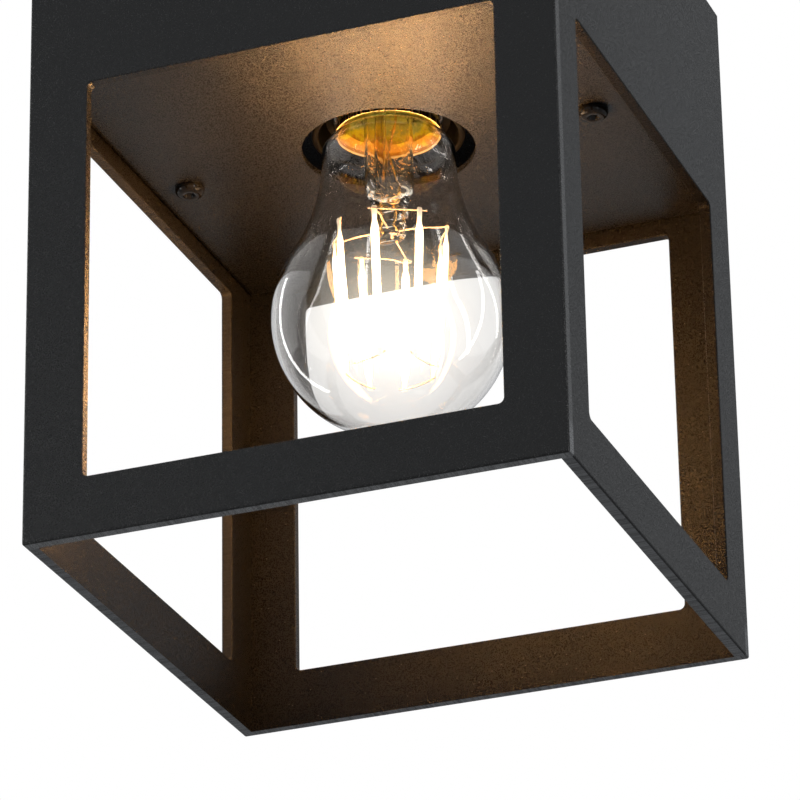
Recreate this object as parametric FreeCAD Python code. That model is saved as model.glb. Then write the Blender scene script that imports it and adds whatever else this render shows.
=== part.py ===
import FreeCAD, Part
import math
import os

os.makedirs("parts", exist_ok=True)

# Porch ceiling lantern: a square open cage of sheet metal with a screw-cap
# filament bulb under an inner plate. Millimetres. The origin is the centre of
# the ceiling face, +Z points up into the ceiling, -Y is the front.

# ---------------------------------------------------------------- clearances
seat_clearance = 0.05       # between a round piece and the hole that holds it
running_clearance = 0.1     # between the bulb's foot and its turning cap
loose_clearance = 0.5       # through holes round a screw's shank
rest_gap = 0.3              # between the two centre contacts
over_cut = 1.0              # how far a cutting tool runs past a face
tolerance = 1e-6            # when two places count as one

# ---------------------------------------------------------------- cage
cage_width = 136.0
cage_height = 183.0
cage_wall = 3.0
post_width = 15.4
bottom_rail = 15.0
top_band = 62.8
window_corner_radius = 1.5
arris_radius = 0.6
window_arris_radius = 0.3

# ---------------------------------------------------------------- inner plate
plate_drop = 59.0           # ceiling to the plate's underside
plate_thickness = 1.5
plate_flange_height = 10.0
plate_hole_radius = 22.0
plate_bend_radius = 0.8     # inside of the bend
plate_corner_notch = 5.0

# ---------------------------------------------------------------- plate screws
plate_screw_inset = 6.5     # from the leg's outer face
m4_radius = 2.0
m4_head_radius = 3.8
m4_head_height = 2.2
m4_dome_radius = 1.65
m4_socket_width = 2.5
m4_socket_depth = 1.3
plate_screw_length = 8.0
m4_nut_width = 7.0
m4_nut_height = 3.2

# ---------------------------------------------------------------- bracket
bracket_sheet = 2.0
bracket_bend_radius = 1.0   # inside of the bend
leg_side_gap = 4.0          # from the leg to the cage's wall
leg_width = 24.0
foot_length = 14.0
web_end_step = 3.0          # the web ends this far inside the leg's face
web_side_gap = 20.0         # from the web's edge to the cage's wall
web_corner_radius = 6.0
fixing_spacing = 80.0
fixing_slot_length = 12.0
fixing_slot_width = 5.2

# ---------------------------------------------------------------- gasket, grommet
gasket_thickness = 2.0
gasket_margin = 2.0
gasket_hole_margin = 1.0
grommet_inset = 13.0        # from the web's edge
grommet_bore_radius = 4.0
grommet_neck_radius = 7.0
grommet_flange_radius = 9.0
grommet_flange_height = 1.8

# ---------------------------------------------------------------- bridge
bridge_sheet = 1.5
bridge_bend_radius = 1.0
bridge_span = 40.0
bridge_width = 18.0
bridge_foot_length = 14.0
bridge_screw_inset = 6.0    # from the foot's end
m3_radius = 1.5
m3_head_radius = 2.8
m3_head_height = 1.9
m3_slot_width = 0.8
m3_slot_depth = 0.9
m3_nut_width = 5.5
m3_nut_height = 2.4
bridge_screw_length = 3.3

# ---------------------------------------------------------------- lampholder
mouth_recess = 3.5          # mouth above the plate's underside
holder_height = 38.0
holder_radius = 19.4
sleeve_wall = 1.6
sleeve_rim_radius = 0.5
base_height = 10.5
base_shoulder = 4.5
core_wall = 1.95
core_mouth_recess = 4.5     # inner tube's end above the mouth
thread_pitch = 3.629
thread_wall = 0.5
thread_radius = 13.25       # inside of the threaded shell's wall
thread_rib_radius = 0.6
thread_rib_sink = 0.13      # rib centre inside the wall's face
thread_rib_turns = 4.0
thread_mouth_recess = 1.0   # shell's end above the inner tube's end
thread_flange = 2.5
thread_flange_sheet = 0.4
holder_screw_offset = 8.0
holder_screw_length = 10.0
terminal_length = 8.0
terminal_width = 5.8
terminal_height = 4.5
terminal_inset = 1.5        # terminal to the bridge's edge
terminal_hole_radius = 1.4
terminal_hole_drop = 2.8
contact_strip = 0.4
contact_width = 5.0
contact_slope_start = 4.2
contact_slope_end = 1.2
contact_tail = 1.5
contact_curl = 1.5
contact_curl_rise = 0.7
contact_reach = 3.3         # centre contact's lowest point below the base

# ---------------------------------------------------------------- terminal block
block_length = 26.0
block_width = 17.0
block_height = 13.0
block_inset = 14.0          # from the web's edge
block_pole_pitch = 8.7
insert_radius = 2.4
insert_bore_radius = 1.6
insert_end_recess = 1.0
clamp_screw_radius = 1.25
clamp_screw_spacing = 8.0
clamp_head_recess = 0.8
clamp_slot_width = 0.5
clamp_slot_depth = 0.7
block_edge_radius = 1.0

# ---------------------------------------------------------------- wires
wire_radius = 1.1
core_radius = 0.6
wire_arc_share = 0.45
wire_bare_length = 4.5
wire_rise = 5.0
wire_side_gap = 9.0

# ---------------------------------------------------------------- earth point
earth_end_inset = 18.0      # from the web's end
earth_edge_inset = 13.0     # from the web's edge
earth_washer_radius = 4.4
earth_washer_height = 0.6
earth_washer_teeth = 10
earth_tag_radius = 4.0
earth_tag_height = 0.8
earth_tag_barrel = 6.0
earth_screw_length = 5.0
earth_head_radius = 3.6
earth_head_height = 2.4

# ---------------------------------------------------------------- bulb
bulb_tip_radius = 4.7
bulb_tip_height = 1.2
insulator_top_radius = 5.2
insulator_radius = 11.35
insulator_cone = 3.6
insulator_rim = 1.0
cap_length = 23.3           # from the centre contact to the cap's rim
cap_radius = 12.1
cap_wall = 0.6
cap_rim_radius = 13.5
cap_rim_height = 1.5
cap_flare_height = 1.2
cap_rib_radius = 0.75
cap_rib_lift = 0.2          # rib centre outside the cap's face
cap_rib_turns = 3.0
globe_radius = 30.0
globe_neck_radius = 16.9
globe_tangent_angle = 32.0  # above the globe's equator, where the neck begins
glass_wall = 0.8
bulb_length = 104.9
neck_seal_radius = 11.2
neck_seal_height = 9.0
neck_seal_end = 2.9         # straight neck ends this far above the cap's rim
neck_shoulder_drop = 6.0    # full neck width this far below the cap's rim
stem_radius = 6.0
stem_wall = 0.7
stem_flare_height = 5.0
stem_end = 17.5             # tube's end below the cap's rim
pinch_height = 10.0
pinch_width = 9.6
pinch_tip_width = 7.4
pinch_thickness = 3.6
exhaust_radius = 1.5
exhaust_bore_radius = 0.9
exhaust_x = -2.0
exhaust_y = -0.8
exhaust_length = 26.0
lead_radius = 0.35
lead_x = 2.6
lead_y = 1.0
driver_width = 14.0
driver_height = 7.0
driver_board = 1.0
driver_part_height = 2.4
driver_part_width = 3.3
driver_part_length = 4.2
driver_part_count = 3
filament_count = 8
filament_phase = 5.6
filament_width = 1.7
filament_thickness = 0.9
filament_length = 39.0
filament_top_radius = 14.7
filament_bottom_radius = 11.3
filament_top_drop = 27.6    # below the cap's rim
support_radius = 0.3
support_overhang = 1.2
support_arc_share = 0.05

# ---------------------------------------------------------------- places
half = cage_width / 2
inside = half - cage_wall
plate_under_z = -plate_drop
plate_top_z = plate_under_z + plate_thickness
web_top_z = -gasket_thickness
web_under_z = web_top_z - bracket_sheet
leg_outer_x = inside - leg_side_gap
leg_inner_x = leg_outer_x - bracket_sheet
foot_end_x = leg_outer_x - foot_length
foot_top_z = plate_top_z + bracket_sheet
plate_screw_offset = leg_outer_x - plate_screw_inset
web_reach_x = leg_outer_x - web_end_step
web_reach_y = inside - web_side_gap
grommet_offset = web_reach_y - grommet_inset
block_offset = web_reach_y - block_inset
earth_x = web_reach_x - earth_end_inset
earth_y = web_reach_y - earth_edge_inset

mouth_z = plate_under_z + mouth_recess
holder_top_z = mouth_z + holder_height
bridge_top_z = holder_top_z + bridge_sheet
bridge_foot_z = web_under_z - bridge_sheet
bridge_outer_x = bridge_span / 2
bridge_end_x = bridge_outer_x + bridge_foot_length
bridge_screw_x = bridge_end_x - bridge_screw_inset
bridge_half_width = bridge_width / 2
base_under_z = holder_top_z - base_height
shoulder_z = holder_top_z - base_shoulder
sleeve_inner = holder_radius - sleeve_wall
core_inner = thread_radius + thread_wall + seat_clearance
core_end_z = mouth_z + core_mouth_recess
thread_end_z = core_end_z + thread_mouth_recess
terminal_near_y = bridge_half_width + terminal_inset
terminal_far_y = terminal_near_y + terminal_width
terminal_y = (terminal_near_y + terminal_far_y) / 2
terminal_under_z = holder_top_z - terminal_height
terminal_hole_z = holder_top_z - terminal_hole_drop

contact_low_z = base_under_z - contact_reach
bulb_top_z = contact_low_z - rest_gap
cap_rim_z = bulb_top_z - cap_length
bulb_end_z = bulb_top_z - bulb_length
globe_z = bulb_end_z + globe_radius
foot_top = bulb_top_z - bulb_tip_height
insulator_edge_z = foot_top - insulator_cone
insulator_under_z = insulator_edge_z - insulator_rim

block_under_z = web_under_z - block_height
pole_z = web_under_z - block_height / 2
block_near_y = -block_offset + block_width / 2
block_far_y = -block_offset - block_width / 2

filament_top_z = cap_rim_z - filament_top_drop
filament_drop = math.sqrt(filament_length ** 2 - (filament_top_radius - filament_bottom_radius) ** 2)
filament_bottom_z = filament_top_z - filament_drop


# ---------------------------------------------------------------- helpers
def V(x, y, z):
    return FreeCAD.Vector(x, y, z)


def save(name, *solids):
    """Write one node: a single solid, or a group of separate solids."""
    shape = solids[0] if len(solids) == 1 else Part.makeCompound(list(solids))
    shape.exportStep("parts/" + name + ".step")
    print(name, len(shape.Solids), round(shape.Volume, 1), shape.isValid())


def box(x0, x1, y0, y1, z0, z1):
    return Part.makeBox(x1 - x0, y1 - y0, z1 - z0, V(x0, y0, z0))


def rod(radius, z0, z1, x=0.0, y=0.0):
    """Upright cylinder from z0 up to z1."""
    return Part.makeCylinder(radius, z1 - z0, V(x, y, z0))


def bar(radius, start, end):
    """Cylinder between two points."""
    run = end - start
    return Part.makeCylinder(radius, run.Length, start, run)


def tube(outer, inner, z0, z1, x=0.0, y=0.0):
    return rod(outer, z0, z1, x, y).cut(rod(inner, z0 - over_cut, z1 + over_cut, x, y))


def hexagon(width, z0, z1, x=0.0, y=0.0):
    """Upright hexagonal prism, width across its flats, two flats square to X."""
    corner = width / math.sqrt(3)
    angles = [math.radians(60 * k + 30) for k in range(7)]
    points = [V(x + corner * math.cos(a), y + corner * math.sin(a), z0) for a in angles]
    return Part.Face(Part.makePolygon(points)).extrude(V(0, 0, z1 - z0))


def turned(points):
    """Solid of revolution about Z from a closed outline of (radius, z)."""
    outline = [V(r, 0, z) for r, z in points]
    face = Part.Face(Part.makePolygon(outline + outline[:1]))
    return face.revolve(V(0, 0, 0), V(0, 0, 1), 360)


def strip(points, width):
    """Prism along Y, centred on the XZ plane, from a closed outline of (x, z)."""
    outline = [V(x, -width / 2, z) for x, z in points]
    face = Part.Face(Part.makePolygon(outline + outline[:1]))
    return face.extrude(V(0, width, 0))


def edges_at(shape, corners):
    """Edges parallel to Y whose (x, z) is one of the given corners."""
    found = []
    for edge in shape.Edges:
        a, b = edge.Vertexes[0].Point, edge.Vertexes[-1].Point
        along_y = abs(a.x - b.x) < tolerance and abs(a.z - b.z) < tolerance
        if along_y and any(math.hypot(a.x - x, a.z - z) < tolerance for x, z in corners):
            found.append(edge)
    return found


def both_sides(corners):
    return corners + [(-x, z) for x, z in corners]


def edges_level(shape, z):
    """Edges whose ends both lie at height z."""
    return [edge for edge in shape.Edges
            if all(abs(vertex.Point.z - z) < tolerance for vertex in edge.Vertexes)]


def upright_edges(shape):
    """Straight edges parallel to Z."""
    found = []
    for edge in shape.Edges:
        a, b = edge.Vertexes[0].Point, edge.Vertexes[-1].Point
        if math.hypot(a.x - b.x, a.y - b.y) < tolerance and abs(a.z - b.z) > tolerance:
            found.append(edge)
    return found


def slot(length, width, z0, z1, x, y):
    """Upright slot cutter with round ends, long side along X."""
    reach = (length - width) / 2
    middle = box(x - reach, x + reach, y - width / 2, y + width / 2, z0, z1)
    ends = [rod(width / 2, z0, z1, x - reach, y), rod(width / 2, z0, z1, x + reach, y)]
    return middle.multiFuse(ends).removeSplitter()


def route(points, share=wire_arc_share):
    """Straight runs joined by tangent arcs, each trimmed by a share of its shorter run."""
    edges = []
    start = points[0]
    for before, corner, after in zip(points, points[1:], points[2:]):
        into = corner - before
        out = after - corner
        shorter = min(into.Length, out.Length)
        into.normalize()
        out.normalize()
        half_turn = into.getAngle(out) / 2
        trim = share * shorter
        radius = trim / math.tan(half_turn)
        enter = corner - into * trim
        leave = corner + out * trim
        inward = out - into
        inward.normalize()
        centre = corner + inward * (radius / math.cos(half_turn))
        edges.append(Part.LineSegment(start, enter).toShape())
        edges.append(Part.Arc(enter, centre - inward * radius, leave).toShape())
        start = leave
    edges.append(Part.LineSegment(start, points[-1]).toShape())
    return Part.Wire(edges)


def sweep(radius, path):
    """Round section carried along a path."""
    first = path.Edges[0]
    start = first.valueAt(first.FirstParameter)
    heading = first.tangentAt(first.FirstParameter)
    section = Part.Wire(Part.makeCircle(radius, start, heading))
    return path.makePipeShell([section], True, False)


def helix_rib(radius, rib_radius, z0, turns):
    """Round rib wound right-handed about Z, starting on the +X side at z0."""
    path = Part.makeHelix(thread_pitch, thread_pitch * turns, radius)
    path.translate(V(0, 0, z0))
    first = path.Edges[0]
    section = Part.Wire(Part.makeCircle(rib_radius, V(radius, 0, z0), first.tangentAt(first.FirstParameter)))
    return Part.Wire(path.Edges).makePipeShell([section], True, True)


def slotted_screw(head_z, tip_z, radius, head_radius, head_height, x, y):
    """Cheese-head screw whose head sits above or below head_z, away from its tip."""
    side = 1 if tip_z < head_z else -1
    crown_z = head_z + side * head_height
    low, high = min(head_z, crown_z), max(head_z, crown_z)
    shank = rod(radius, min(head_z, tip_z), max(head_z, tip_z), x, y)
    head = rod(head_radius, low, high, x, y)
    groove_z = crown_z - side * m3_slot_depth
    groove = box(x - head_radius - over_cut, x + head_radius + over_cut,
                 y - m3_slot_width / 2, y + m3_slot_width / 2,
                 min(groove_z, crown_z + side * over_cut), max(groove_z, crown_z + side * over_cut))
    return head.fuse(shank).removeSplitter().cut(groove)


# ---------------------------------------------------------------- cage
def cage_panel(width):
    """Front wall with its window: the outer face is at y = -half."""
    panel = box(-width / 2, width / 2, -half, -inside, -cage_height, 0)
    outer = []
    for edge in panel.Edges:
        a, b = edge.Vertexes[0].Point, edge.Vertexes[-1].Point
        on_face = abs(a.y + half) < tolerance and abs(b.y + half) < tolerance
        bottom = abs(a.z + cage_height) < tolerance and abs(b.z + cage_height) < tolerance
        corner = abs(abs(a.x) - half) < tolerance and abs(a.x - b.x) < tolerance
        upright = abs(a.z - b.z) > tolerance
        if (on_face and bottom) or (corner and bottom) or (on_face and corner and upright):
            outer.append(edge)
    panel = panel.makeFillet(arris_radius, outer)
    reach = half - post_width
    cutter = box(-reach, reach, -half - over_cut, -inside + over_cut,
                 -cage_height + bottom_rail, -top_band)
    corners = both_sides([(reach, -top_band), (reach, -cage_height + bottom_rail)])
    cutter = cutter.makeFillet(window_corner_radius, edges_at(cutter, corners))
    panel = panel.cut(cutter)
    rim = []
    for edge in panel.Edges:
        middle = edge.valueAt((edge.FirstParameter + edge.LastParameter) / 2)
        on_face = abs(middle.y + half) < tolerance or abs(middle.y + inside) < tolerance
        across = abs(middle.x) < reach + arris_radius
        between = -cage_height + arris_radius < middle.z < -arris_radius
        flat = abs(edge.Vertexes[0].Point.y - edge.Vertexes[-1].Point.y) < tolerance
        if on_face and across and between and flat:
            rim.append(edge)
    return panel.makeFillet(window_arris_radius, rim)


def turned_about_z(shape, angle):
    moved = shape.copy()
    moved.rotate(V(0, 0, 0), V(0, 0, 1), angle)
    return moved


def make_cage():
    wide = cage_panel(cage_width)
    narrow = cage_panel(2 * inside)
    save("front_panel", wide)
    save("rear_panel", turned_about_z(wide, 180))
    save("right_panel", turned_about_z(narrow, 90))
    save("left_panel", turned_about_z(narrow, -90))


def make_socket_plate():
    """Shallow tray, edges turned up against the cage's walls."""
    rim_z = plate_under_z + plate_flange_height
    tray = box(-inside, inside, -inside, inside, plate_under_z, rim_z)
    wide_bend = plate_bend_radius + plate_thickness
    tray = tray.makeFillet(wide_bend, edges_level(tray, plate_under_z))
    reach = inside - plate_thickness
    tray = tray.cut(box(-reach, reach, -reach, reach, plate_top_z, rim_z + over_cut))
    notch = inside - plate_corner_notch
    for sx in (-1, 1):
        for sy in (-1, 1):
            near_x, far_x = sorted((sx * notch, sx * (inside + over_cut)))
            near_y, far_y = sorted((sy * notch, sy * (inside + over_cut)))
            tray = tray.cut(box(near_x, far_x, near_y, far_y, plate_top_z, rim_z + over_cut))
    tray = tray.cut(rod(plate_hole_radius, plate_under_z - over_cut, plate_top_z + over_cut))
    for x in (-plate_screw_offset, plate_screw_offset):
        hole = rod(m4_radius + loose_clearance / 2, plate_under_z - over_cut, plate_top_z + over_cut, x)
        tray = tray.cut(hole)
    save("socket_plate", tray)


def button_screw(x):
    """Button-head screw with a hexagonal socket, driven up from below the plate."""
    crown_z = plate_under_z - m4_head_height
    head = rod(m4_head_radius, crown_z, plate_under_z, x)
    head = head.makeFillet(m4_dome_radius, edges_level(head, crown_z))
    socket = hexagon(m4_socket_width, crown_z - over_cut, crown_z + m4_socket_depth, x)
    shank = rod(m4_radius, plate_under_z, plate_under_z + plate_screw_length, x)
    return head.cut(socket).fuse(shank).removeSplitter()


def leg_nut(x):
    body = hexagon(m4_nut_width, foot_top_z, foot_top_z + m4_nut_height, x)
    bore = rod(m4_radius + seat_clearance, foot_top_z - over_cut, foot_top_z + m4_nut_height + over_cut, x)
    return body.cut(bore)


def make_plate_fixings():
    save("plate_screws", *[button_screw(x) for x in (-plate_screw_offset, plate_screw_offset)])
    save("leg_nuts", *[leg_nut(x) for x in (-plate_screw_offset, plate_screw_offset)])


# ---------------------------------------------------------------- ceiling parts
def make_ceiling_bracket():
    """Plate against the ceiling with two legs bent down and their feet turned in."""
    outer = [(foot_end_x, plate_top_z), (leg_outer_x, plate_top_z), (leg_outer_x, web_top_z)]
    inner = [(foot_end_x, foot_top_z), (leg_inner_x, foot_top_z), (leg_inner_x, web_under_z)]
    mirrored_outer = [(-x, z) for x, z in reversed(outer)]
    mirrored_inner = [(-x, z) for x, z in inner]
    bracket = strip(outer + mirrored_outer + mirrored_inner + list(reversed(inner)), leg_width)
    wide_bend = bracket_bend_radius + bracket_sheet
    bracket = bracket.makeFillet(wide_bend, edges_at(bracket, both_sides(outer[1:])))
    bracket = bracket.makeFillet(bracket_bend_radius, edges_at(bracket, both_sides(inner[1:])))
    web = box(-web_reach_x, web_reach_x, -web_reach_y, web_reach_y, web_under_z, web_top_z)
    web = web.makeFillet(web_corner_radius, upright_edges(web))
    bracket = bracket.fuse(web).removeSplitter()
    cut_low, cut_high = web_under_z - over_cut, web_top_z + over_cut
    for x in (-fixing_spacing / 2, fixing_spacing / 2):
        bracket = bracket.cut(slot(fixing_slot_length, fixing_slot_width, cut_low, cut_high, x, 0))
    for x in (-bridge_screw_x, bridge_screw_x):
        bracket = bracket.cut(rod(m3_radius + seat_clearance, cut_low, cut_high, x))
    for x in (-plate_screw_offset, plate_screw_offset):
        hole = rod(m4_radius + loose_clearance / 2, plate_top_z - over_cut, foot_top_z + over_cut, x)
        bracket = bracket.cut(hole)
    bracket = bracket.cut(rod(grommet_neck_radius + seat_clearance, cut_low, cut_high, 0, grommet_offset))
    block_hole = rod(m3_radius + seat_clearance, cut_low, cut_high, block_pole_pitch / 2, -block_offset)
    bracket = bracket.cut(block_hole)
    bracket = bracket.cut(rod(m4_radius + seat_clearance, cut_low, cut_high, earth_x, -earth_y))
    save("ceiling_bracket", bracket)


def make_ceiling_gasket():
    """Foam pad between the bracket and the ceiling."""
    reach_x = web_reach_x - gasket_margin
    reach_y = web_reach_y - gasket_margin
    pad = box(-reach_x, reach_x, -reach_y, reach_y, web_top_z, 0)
    pad = pad.makeFillet(web_corner_radius, upright_edges(pad))
    cut_low, cut_high = web_top_z - over_cut, over_cut
    grown = 2 * gasket_hole_margin
    for x in (-fixing_spacing / 2, fixing_spacing / 2):
        hole = slot(fixing_slot_length + grown, fixing_slot_width + grown, cut_low, cut_high, x, 0)
        pad = pad.cut(hole)
    pad = pad.cut(rod(grommet_flange_radius + gasket_hole_margin, cut_low, cut_high, 0, grommet_offset))
    pad = pad.cut(rod(m4_radius + gasket_hole_margin, cut_low, cut_high, earth_x, -earth_y))
    save("ceiling_gasket", pad)


def make_cable_grommet():
    """Rubber bush: a flange above and below the bracket, joined by its neck."""
    top_z = web_top_z + grommet_flange_height
    under_z = web_under_z - grommet_flange_height
    outline = [(grommet_bore_radius, top_z), (grommet_flange_radius, top_z),
               (grommet_flange_radius, web_top_z), (grommet_neck_radius, web_top_z),
               (grommet_neck_radius, web_under_z), (grommet_flange_radius, web_under_z),
               (grommet_flange_radius, under_z), (grommet_bore_radius, under_z)]
    grommet = turned(outline)
    grommet.translate(V(0, grommet_offset, 0))
    save("cable_grommet", grommet)


def make_bridge():
    """Hat-shaped strip under the bracket that carries the lampholder."""
    low = [(bridge_end_x, bridge_foot_z), (bridge_outer_x, bridge_foot_z), (bridge_outer_x, holder_top_z)]
    high = [(bridge_end_x, web_under_z), (bridge_outer_x - bridge_sheet, web_under_z),
            (bridge_outer_x - bridge_sheet, bridge_top_z)]
    mirrored_low = [(-x, z) for x, z in reversed(low)]
    mirrored_high = [(-x, z) for x, z in high]
    bridge = strip(low + mirrored_low + mirrored_high + list(reversed(high)), bridge_width)
    wide_bend = bridge_bend_radius + bridge_sheet
    bridge = bridge.makeFillet(wide_bend, edges_at(bridge, both_sides([low[2], high[1]])))
    bridge = bridge.makeFillet(bridge_bend_radius, edges_at(bridge, both_sides([low[1], high[2]])))
    for x in (-bridge_screw_x, bridge_screw_x):
        hole = rod(m3_radius + loose_clearance / 2, bridge_foot_z - over_cut, web_under_z + over_cut, x)
        bridge = bridge.cut(hole)
    for x in (-holder_screw_offset, holder_screw_offset):
        hole = rod(m3_radius + loose_clearance / 2, holder_top_z - over_cut, bridge_top_z + over_cut, x)
        bridge = bridge.cut(hole)
    save("lampholder_bridge", bridge)
    screws = [slotted_screw(bridge_foot_z, bridge_foot_z + bridge_screw_length, m3_radius,
                            m3_head_radius, m3_head_height, x, 0)
              for x in (-bridge_screw_x, bridge_screw_x)]
    save("bridge_screws", *screws)


# ---------------------------------------------------------------- lampholder
def make_lampholder_base():
    """Insulating top disc with the inner tube that holds the threaded shell."""
    step_radius = sleeve_inner - seat_clearance
    core_outer = core_inner + core_wall
    base = turned([(0, holder_top_z), (holder_radius, holder_top_z), (holder_radius, shoulder_z),
                   (step_radius, shoulder_z), (step_radius, base_under_z), (core_outer, base_under_z),
                   (core_outer, core_end_z), (core_inner, core_end_z), (core_inner, base_under_z),
                   (0, base_under_z)])
    top = holder_top_z + over_cut
    for x in (-holder_screw_offset, holder_screw_offset):
        base = base.cut(rod(m3_radius + loose_clearance / 2, base_under_z - over_cut, top, x))
        pocket = hexagon(m3_nut_width + 2 * seat_clearance, base_under_z - over_cut,
                         base_under_z + m3_nut_height, x)
        base = base.cut(pocket)
    channel = wire_radius + loose_clearance
    reach_x = terminal_length / 2 + running_clearance
    strip_x = contact_width / 2 + running_clearance
    for side in (1, -1):
        near_y, far_y = sorted((side * (terminal_near_y - contact_strip - running_clearance),
                                side * (terminal_far_y + running_clearance)))
        base = base.cut(box(-reach_x, reach_x, near_y, far_y, terminal_under_z, top))
        end_x = side * (holder_radius + over_cut)
        low_x, high_x = sorted((0, end_x))
        base = base.cut(box(low_x, high_x, side * terminal_y - channel, side * terminal_y + channel,
                            terminal_hole_z - channel, top))
    live_y = terminal_near_y - contact_strip
    base = base.cut(box(-strip_x, strip_x, live_y - running_clearance, terminal_near_y + running_clearance,
                        base_under_z - over_cut, terminal_under_z + over_cut))
    side_y = -side_contact_y()
    base = base.cut(box(-strip_x, strip_x, side_y - contact_strip - running_clearance,
                        side_y + running_clearance, base_under_z - over_cut, terminal_under_z + over_cut))
    save("lampholder_base", base)


def side_contact_y():
    """Where the strip to the threaded shell stands: over the middle of the shell's flange."""
    return thread_radius + thread_wall - thread_flange / 2


def make_lampholder_sleeve():
    """Black outer sleeve whose rounded rim shows in the plate's hole."""
    sleeve = tube(holder_radius, sleeve_inner, mouth_z, shoulder_z)
    save("lampholder_sleeve", sleeve.makeFillet(sleeve_rim_radius, edges_level(sleeve, mouth_z)))


def make_lampholder_thread():
    """Metal shell with its rolled thread, the female half of the screw joint."""
    outer = thread_radius + thread_wall
    flange_z = base_under_z - thread_flange_sheet
    shell = turned([(outer - thread_flange, base_under_z), (outer, base_under_z), (outer, thread_end_z),
                    (thread_radius, thread_end_z), (thread_radius, flange_z),
                    (outer - thread_flange, flange_z)])
    start_z = cap_rib_start_z() + thread_pitch / 2
    rib = helix_rib(thread_radius - thread_rib_sink, thread_rib_radius, start_z, thread_rib_turns)
    save("lampholder_thread", shell.fuse(rib))


def make_lampholder_contacts():
    """Sprung centre contact, and the strip down to the threaded shell."""
    tab_y = terminal_near_y
    low = [(tab_y, terminal_under_z + over_cut), (tab_y, base_under_z - contact_strip),
           (contact_slope_start, base_under_z - contact_strip), (contact_slope_end, contact_low_z),
           (-contact_tail, contact_low_z), (-contact_tail - contact_curl, contact_low_z + contact_curl_rise)]
    high = [(-contact_tail - contact_curl, contact_low_z + contact_curl_rise + contact_strip),
            (-contact_tail, contact_low_z + contact_strip),
            (contact_slope_end, contact_low_z + contact_strip),
            (contact_slope_start, base_under_z), (tab_y - contact_strip, base_under_z),
            (tab_y - contact_strip, terminal_under_z + over_cut)]
    outline = [V(-contact_width / 2, y, z) for y, z in low + high]
    leaf = Part.Face(Part.makePolygon(outline + outline[:1])).extrude(V(contact_width, 0, 0))
    save("lampholder_contact", leaf)
    side_y = -side_contact_y()
    tab = box(-contact_width / 2, contact_width / 2, side_y - contact_strip, side_y,
              base_under_z, terminal_under_z)
    save("lampholder_side_contact", tab)


def terminal(side):
    """Brass block with a hole for the wire and a hole for its screw."""
    near_y, far_y = sorted((side * terminal_near_y, side * terminal_far_y))
    block = box(-terminal_length / 2, terminal_length / 2, near_y, far_y, terminal_under_z, holder_top_z)
    y = side * terminal_y
    reach = terminal_length / 2 + over_cut
    block = block.cut(bar(terminal_hole_radius, V(-reach, y, terminal_hole_z), V(reach, y, terminal_hole_z)))
    return block.cut(rod(m3_radius + seat_clearance, terminal_hole_z, holder_top_z + over_cut, 0, y))


def make_lampholder_terminals():
    sides = (1, -1)
    save("lampholder_terminals", *[terminal(side) for side in sides])
    tip_z = terminal_hole_z + core_radius + seat_clearance
    screws = [slotted_screw(holder_top_z, tip_z, m3_radius, m3_head_radius, m3_head_height,
                            0, side * terminal_y)
              for side in sides]
    save("lampholder_terminal_screws", *screws)


def make_lampholder_fixings():
    places = (-holder_screw_offset, holder_screw_offset)
    tip_z = bridge_top_z - holder_screw_length
    screws = [slotted_screw(bridge_top_z, tip_z, m3_radius, m3_head_radius, m3_head_height, x, 0)
              for x in places]
    save("lampholder_screws", *screws)
    nuts = []
    for x in places:
        nut = hexagon(m3_nut_width, base_under_z, base_under_z + m3_nut_height, x)
        nuts.append(nut.cut(rod(m3_radius + seat_clearance, base_under_z - over_cut,
                                base_under_z + m3_nut_height + over_cut, x)))
    save("lampholder_nuts", *nuts)


# ---------------------------------------------------------------- terminal block
def pole_places():
    return [-block_pole_pitch, 0.0, block_pole_pitch]


def clamp_places():
    ys = (-block_offset - clamp_screw_spacing / 2, -block_offset + clamp_screw_spacing / 2)
    return [(x, y) for x in pole_places() for y in ys]


def make_terminal_block():
    body = box(-block_length / 2, block_length / 2, block_far_y, block_near_y, block_under_z, web_under_z)
    body = body.makeFillet(block_edge_radius, upright_edges(body))
    for x in pole_places():
        body = body.cut(bar(insert_radius + seat_clearance, V(x, block_far_y - over_cut, pole_z),
                            V(x, block_near_y + over_cut, pole_z)))
    for x, y in clamp_places():
        body = body.cut(rod(clamp_screw_radius + loose_clearance / 2, block_under_z - over_cut, pole_z, x, y))
    middle_x = block_pole_pitch / 2
    body = body.cut(rod(m3_radius + seat_clearance, block_under_z - over_cut, web_under_z + over_cut,
                        middle_x, -block_offset))
    save("terminal_block", body)


def make_terminal_inserts():
    inserts = []
    for x in pole_places():
        start = V(x, block_far_y + insert_end_recess, pole_z)
        end = V(x, block_near_y - insert_end_recess, pole_z)
        insert = bar(insert_radius, start, end)
        insert = insert.cut(bar(insert_bore_radius, start - V(0, over_cut, 0), end + V(0, over_cut, 0)))
        for clamp_x, y in clamp_places():
            if clamp_x == x:
                low_z = pole_z - insert_radius - over_cut
                insert = insert.cut(rod(clamp_screw_radius + seat_clearance, low_z, pole_z, x, y))
        inserts.append(insert)
    save("terminal_inserts", *inserts)


def make_clamp_screws():
    screws = []
    foot_z = block_under_z + clamp_head_recess
    for x, y in clamp_places():
        holds_wire = y > -block_offset
        tip_z = pole_z - core_radius - seat_clearance if holds_wire else pole_z - insert_bore_radius
        screw = rod(clamp_screw_radius, foot_z, tip_z, x, y)
        groove = box(x - clamp_screw_radius - over_cut, x + clamp_screw_radius + over_cut,
                     y - clamp_slot_width / 2, y + clamp_slot_width / 2,
                     foot_z - over_cut, foot_z + clamp_slot_depth)
        screws.append(screw.cut(groove))
    save("terminal_clamp_screws", *screws)
    fixing = slotted_screw(block_under_z, web_top_z, m3_radius, m3_head_radius, m3_head_height,
                           block_pole_pitch / 2, -block_offset)
    save("terminal_block_screw", fixing)


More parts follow.
